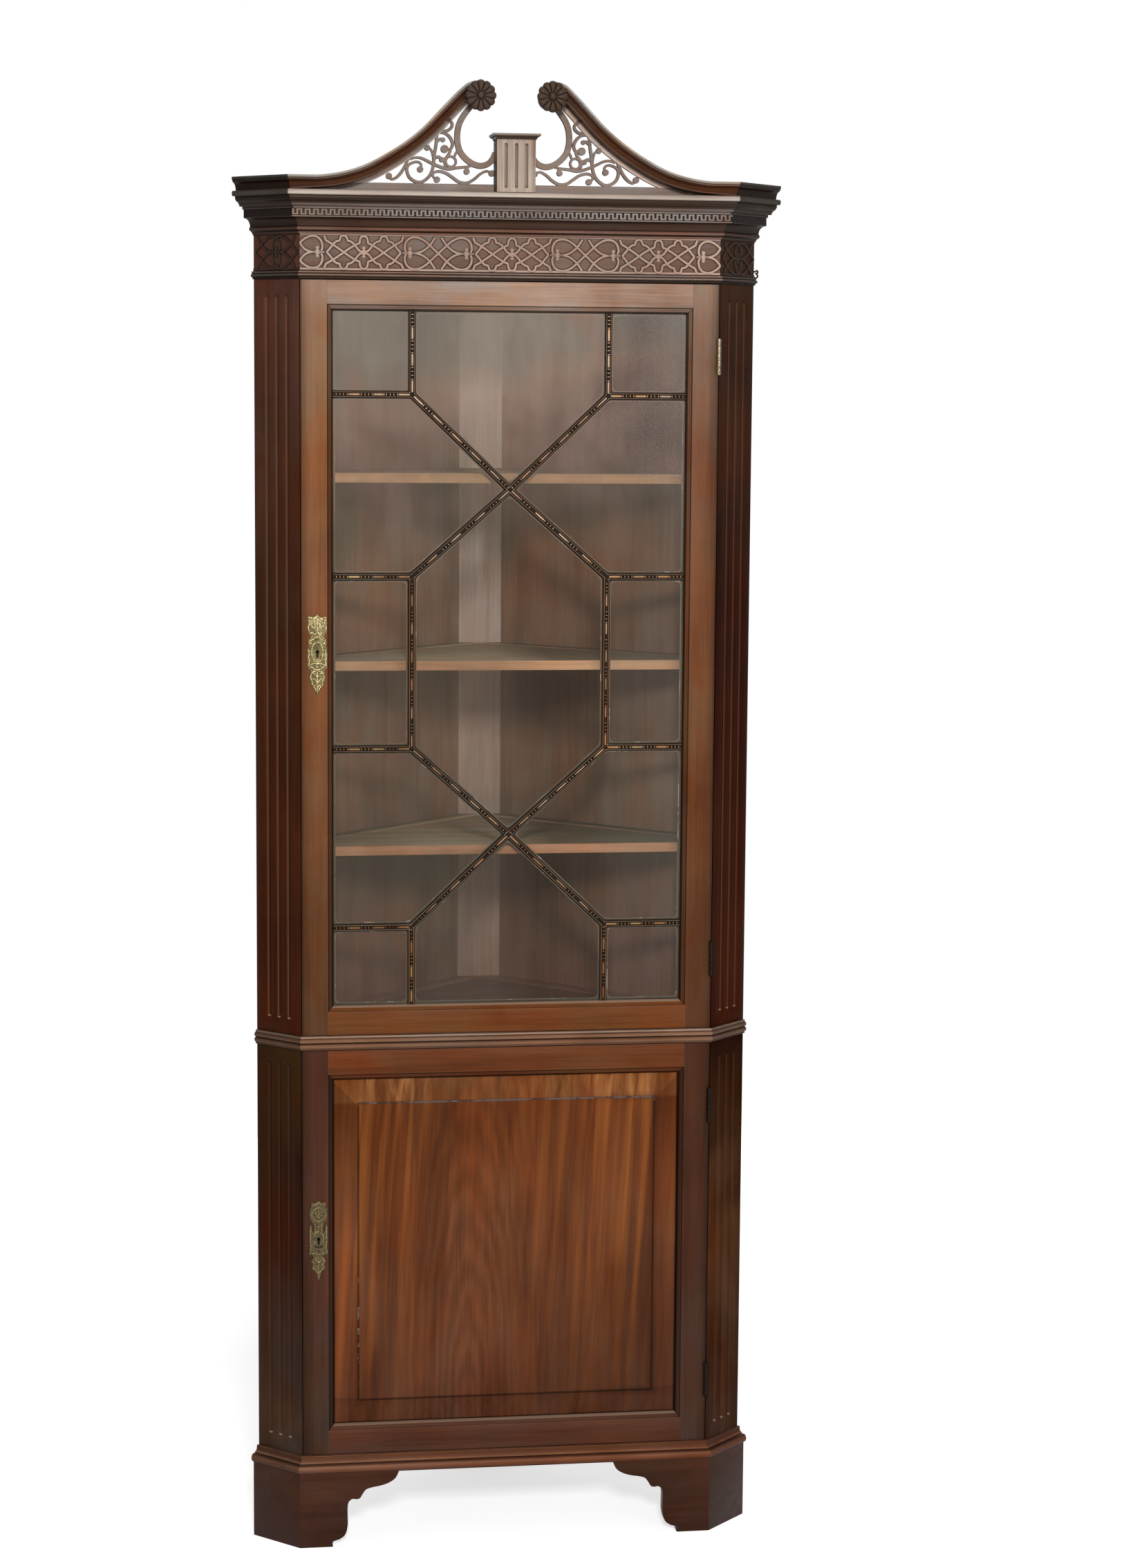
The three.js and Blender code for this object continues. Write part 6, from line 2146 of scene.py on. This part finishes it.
# Tones across the bar's section: the pale band on each shoulder's crest is a painted highlight.
bar_wood = timber(
    "astragal_mahogany",
    [(0.0, "1a120c"), (2.9, "1c130d"), (3.2, "42352a"), (3.45, "83756a"), (3.7, "83756a"),
     (3.9, "3c3027"), (4.4, "241a12"), (5.2, "2c2118"), (5.5, "4a3c2e"), (5.75, "17100b")],
    measure="from_middle", seed=20, streak=0.4, cloud=0.5, flame=0.5, grime_and_shade=0.5,
    grime_and_shade_reach=3, waver=0.06, stain_and_painted_light=ochre_uprights,
)
bead_wood = timber(
    "astragal_bead_wood", [(870, "1c110c"), (1900, "2a1f16")], seed=21, streak=0.3, grime_and_shade=0.4,
    grime_and_shade_reach=2,
)
reel_wood = timber(
    "astragal_reel_boxwood", [(870, "8a653f"), (1400, "a7855e"), (1900, "c69f7d")], seed=22,
    streak=0.6, cloud=1.2, flame=0.8, grime_and_shade=0.4, grime_and_shade_reach=2, stain_and_painted_light=lit_crest,
)
putty = timber("dark_putty", [(900, "4a4438"), (1900, "5a5246")], seed=23, streak=0.1,
               figure=0.2, cloud=0.8, gloss=(0.7, 0.85))
# Pale putty whose colour also paints the highlight along the lip's edge.
putty_lip_and_highlight = timber("pale_putty_and_highlight", [(900, "6c6554"), (1900, "b0917b")], seed=24, streak=0.1,
                   figure=0.2, cloud=1.2, gloss=(0.7, 0.85), stain_and_painted_light=crumbled)
plate_brass = {
    "upper": old_metal("old_brass", "7a6d3e", "554a28", "231d10", metallic=0.5),
    "lower": old_metal("old_brass_dull", "5a4d29", "42381b", "201a0c", metallic=0.4),
}
relief_brass = {
    "upper": old_metal("old_brass_rubbed_high", "e9d6a6", "b6a064", "5d502a", metallic=0.55),
    "lower": old_metal("old_brass_relief", "a38a53", "786234", "3a2d17", metallic=0.5),
}


def crest_highlight(tree, coordinates, colour):
    """A hinge's barrel has a painted highlight along a thin crest only and is painted darker beside
    it.
    """
    aside = weighed(tree, [(axes(tree, coordinates)["X"], 1.0)], -(HINGE_ACROSS - 1.0) * MM)
    aside = maths(tree, "ABSOLUTE", aside)
    return scaled(tree, colour, ranged(tree, aside, 1.1 * MM, 2.1 * MM, 1, 0.2))


HINGE_ACROSS = 321.5
# The pale brass, on the top hinge of the upper door, paints the light caught there; the other
# hinges take the dark brass.
hinge_pale = old_metal("old_brass_highlit", "baad8e", "9b8562", "55482e", metallic=0.2,
                       stain_and_painted_light=crest_highlight)
hinge_dark = old_metal("old_brass_dark", "2e2118", "20160f", "130c08", metallic=0.0,
                       rough=(0.55, 0.75), shine=0.08, stain_and_painted_light=crest_highlight)
black_iron = old_metal("blackened_iron", "2a2320", "1c1714", "100c0a", metallic=0.1,
                       rough=(0.6, 0.8), shine=0.1)
iron = old_metal("old_iron", "6a625a", "47413b", "262220", rough=(0.45, 0.65), pitch=260)
glass = old_glass("old_glass")
upper_stile = {
    side: timber(
        f"upper_door_stile_{label}", UPPER_DOOR_TONES[side], seed=seed, figure=0.25,
        streak=0.38, cloud=0.5, flame=0.6, worn_and_highlight=0.35, grime_and_shade=0.5, grime_and_shade_reach=4,
        stain_and_painted_light=door_frame("upper"),
    )
    for side, label, seed in ((-1, "left", 25), (1, "right", 26))
}
upper_rail = {
    place: timber(
        f"upper_door_rail_{place}", [(z, code)], grain="across", seed=seed, figure=0.25,
        streak=0.5, cloud=0.5, flame=flame, worn_and_highlight=0.35, grime_and_shade=0.5, grime_and_shade_reach=4,
        drift=drift, stain_and_painted_light=door_frame("upper"),
    )
    for place, z, code, seed, flame, drift in (
        ("top", 1950, "9a8274", 27, 0.5, (-0.09, -0.11, -0.14)),
        ("bottom", 840, "6b3c1e", 28, 0.5, None),
    )
}
LOWER_DOOR_TONES = {
    -1: [(185, "402e24"), (500, "553124"), (757, "3c1d11")],
    1: [(185, "442f26"), (500, "402419"), (757, "401e0d")],
}
lower_stile = {
    side: timber(
        f"lower_door_stile_{label}", LOWER_DOOR_TONES[side], seed=seed, figure=0.35, flame=0.5,
        streak=0.5, worn_and_highlight=0.25, grime_and_shade=0.6, grime_and_shade_reach=4, stain_and_painted_light=door_frame("lower"),
    )
    for side, label, seed in ((-1, "left", 29), (1, "right", 30))
}
lower_rail = {
    place: timber(
        f"lower_door_rail_{place}", [(z, code)], grain="across", seed=seed, figure=0.35,
        streak=0.5, flame=0.5, worn_and_highlight=0.25, grime_and_shade=0.6, grime_and_shade_reach=4, drift=(0.09, 0.10, 0.16),
        stain_and_painted_light=door_frame("lower"),
    )
    for place, z, code, seed in (("top", 780, "68381e", 31), ("bottom", 160, "523124", 32))
}
panel_wood = timber(
    "figured_panel", [(185, "5a3626"), (480, "6a3d26"), (757, "5b2806")], seed=33, figure=0.25,
    streak=0.45, cloud=0.35, flame=0.4, gloss=(0.32, 0.46), shine=0.06, grime_and_shade=0.6, grime_and_shade_reach=3,
    stain_and_painted_light=flamed_panel,
)

# ---------------------------------------------------------------- building

for side in (-1, 1):
    pilaster("upper", side, WAIST_TOP, CORNICE_TOP, 842, 1955, pilaster_upper[side])
    pilaster("lower", side, BASE_TOP, WAIST_BOTTOM, 170, 772, pilaster_lower[side])
    swan_neck(side, swan_wood)
    scroll_fret(side, fret_wood)
    rosette(side, carved_wood)
    bracket_foot(side, foot_wood[side])

moulding(
    "waist_moulding_run", "waist_moulding", WAIST_SECTION, WAIST_BOTTOM, "door_wood", waist_wood
)
moulding("necking_moulding_run", "necking_moulding", NECKING_SECTION, NECKING_BOTTOM,
         "cornice_wood", cornice_wood)
moulding("cornice_moulding_run", "cornice_moulding", CORNICE_SECTION, CORNICE_BOTTOM,
         "cornice_wood", cornice_wood)
moulding("base_moulding_run", "base_moulding", BASE_SECTION, 120, "dark_door_wood", base_wood)
top_board(faded_wood)
plinth(plinth_wood, cap_wood)
frieze(frieze_carving, cant_carving)
key_band(key_wood)
dressed("frieze_rail", "frieze_wood", frieze_ground)

for stage, stiles, rails in (
    ("upper", upper_stile, upper_rail), ("lower", lower_stile, lower_rail)
):
    slot = "door_wood" if stage == "upper" else "dark_door_wood"
    dressed(f"{stage}_door_lock_stile", slot, stiles[-1], ease=0.5, ease_over=60)
    dressed(f"{stage}_door_hinge_stile", slot, stiles[1], ease=0.5, ease_over=60)
    for place in ("top", "bottom"):
        dressed(f"{stage}_door_{place}_rail", slot, rails[place], ease=0.5, ease_over=60)
dressed("lower_door_panel", "panel_wood", panel_wood, ease=0.5, ease_over=30)
glazing_bars(bar_wood, bead_wood, reel_wood)
glazing(glass, putty, putty_lip_and_highlight)
wire_hook(black_iron)

for node in ("shelf_bottom", "shelf_middle", "shelf_top"):
    dressed(node, "shelf_wood", shelf_wood, ease=0.8)
for node in (
    "upper_back_left", "upper_back_right", "upper_floor_board", "upper_top_board",
    "lower_back_left", "lower_back_right", "lower_corner_board", "lower_top_board",
    "lower_floor_board", "lower_shelf", "rear_foot",
):
    dressed(node, "case_wood", case_wood, ease=0.6)
dressed("upper_corner_board", "case_wood", corner_wood, ease=0.6)
for stage in ("upper", "lower"):
    for node in (f"{stage}_lock_case", f"{stage}_lock_bolt"):
        dressed(node, "iron", iron, ease=0.3)
    lock_plate(stage, plate_brass[stage], relief_brass[stage])
    for place in ("bottom", "top"):
        # The top hinge of the upper door takes the pale brass with its painted highlight.
        highlit_and_rubbed = stage == "upper" and place == "top"
        for leaf in ("case_leaf", "door_leaf"):
            dressed(
                f"{stage}_{place}_hinge_{leaf}", "brass", hinge_pale if highlit_and_rubbed else hinge_dark,
                ease=0.2, ease_over=60,
            )

# ---------------------------------------------------------------- camera, light and floor


def camera():
    yaw, pitch, roll = 0.143209, 0.1215946, 0.0075363
    ahead = Vector(
        (math.sin(yaw) * math.cos(pitch), math.cos(yaw) * math.cos(pitch), -math.sin(pitch))
    )
    right = Vector((math.cos(yaw), -math.sin(yaw), 0))
    up = right.cross(ahead)
    right, up = (
        right * math.cos(roll) + up * math.sin(roll), up * math.cos(roll) - right * math.sin(roll),
    )
    data = bpy.data.cameras.new("camera")
    data.sensor_width, data.lens = 36.0, 72.596
    data.clip_start, data.clip_end = 0.05, 100
    eye = bpy.data.objects.new("camera", data)
    turn = Matrix((right, up, -ahead)).transposed().to_4x4()
    eye.matrix_world = Matrix.Translation(at(-604.29, -4823.67, 1803.79)) @ turn
    scene.collection.objects.link(eye)
    scene.camera = eye


def softbox(name, place, aim, size, power):
    data = bpy.data.lights.new(name, "AREA")
    data.shape, data.size, data.energy = "SQUARE", size, power
    lamp = bpy.data.objects.new(name, data)
    lamp.location = place
    lamp.rotation_mode = "QUATERNION"
    lamp.rotation_quaternion = (Vector(aim) - Vector(place)).to_track_quat("-Z", "Y")
    scene.collection.objects.link(lamp)


def seen_directly(tree):
    """1 for what the eye sees straight, in a reflection or through glass."""
    rays = tree.nodes.new("ShaderNodeLightPath").outputs
    seen = rays["Is Camera Ray"]
    for kind in ("Is Glossy Ray", "Is Transmission Ray"):
        seen = maths(tree, "MAXIMUM", seen, rays[kind])
    return seen


def surroundings():
    """White to the eye and in reflections, and a plain grey light on everything else."""
    world = bpy.data.worlds.new("studio")
    scene.world = world
    world.use_nodes = True
    tree = world.node_tree
    tree.nodes.clear()
    light = tree_node(tree, "ShaderNodeBackground", {"Color": (1, 1, 1, 1), "Strength": 0.25})
    white = tree_node(tree, "ShaderNodeBackground", {"Color": (1, 1, 1, 1), "Strength": 1.0})
    both = tree_node(
        tree, "ShaderNodeMixShader",
        {0: seen_directly(tree), 1: light.outputs[0], 2: white.outputs[0]},
    )
    tree_node(tree, "ShaderNodeOutputWorld", {"Surface": both.outputs[0]})


def studio_floor():
    mesh = bpy.data.meshes.new("studio_floor")
    half = 2.6
    mesh.from_pydata(
        [(-half, -half, 0), (half, -half, 0), (half, half, 0), (-half, half, 0)], [], [(0, 1, 2, 3)]
    )
    floor = bpy.data.objects.new("studio_floor", mesh)
    scene.collection.objects.link(floor)
    material = bpy.data.materials.new("pale_floor")
    material.use_nodes = True
    tree = material.node_tree
    tree.nodes.clear()
    plain = tree_node(tree, "ShaderNodeBsdfDiffuse", {"Color": (0.6, 0.6, 0.6, 1)})
    shadowed = tree_node(tree, "ShaderNodeBsdfDiffuse", {"Color": (0.8, 0.8, 0.8, 1)})
    place = tree.nodes.new("ShaderNodeTexCoord").outputs["Object"]
    away = tree_node(tree, "ShaderNodeVectorMath", {0: place}, operation="LENGTH")
    strength = ranged(tree, away.outputs["Value"], 0.9, 2.2, 0.66, 1.0)
    white = tree_node(tree, "ShaderNodeEmission", {"Color": (1, 1, 1, 1), "Strength": strength})
    pale = tree_node(tree, "ShaderNodeAddShader", {0: shadowed.outputs[0], 1: white.outputs[0]})
    both = tree_node(
        tree, "ShaderNodeMixShader",
        {0: seen_directly(tree), 1: plain.outputs[0], 2: pale.outputs[0]},
    )
    tree_node(tree, "ShaderNodeOutputMaterial", {"Surface": both.outputs[0]})
    mesh.materials.append(material)


camera()
softbox("key", (-0.6, -6.1, 3.37), (0, 0, 1.2), 0.8, 256)
softbox("fill", (2.2, -4.8, 1.2), (0, 0, 1.0), 2.4, 58)
surroundings()
studio_floor()

scene.view_settings.view_transform = "Standard"
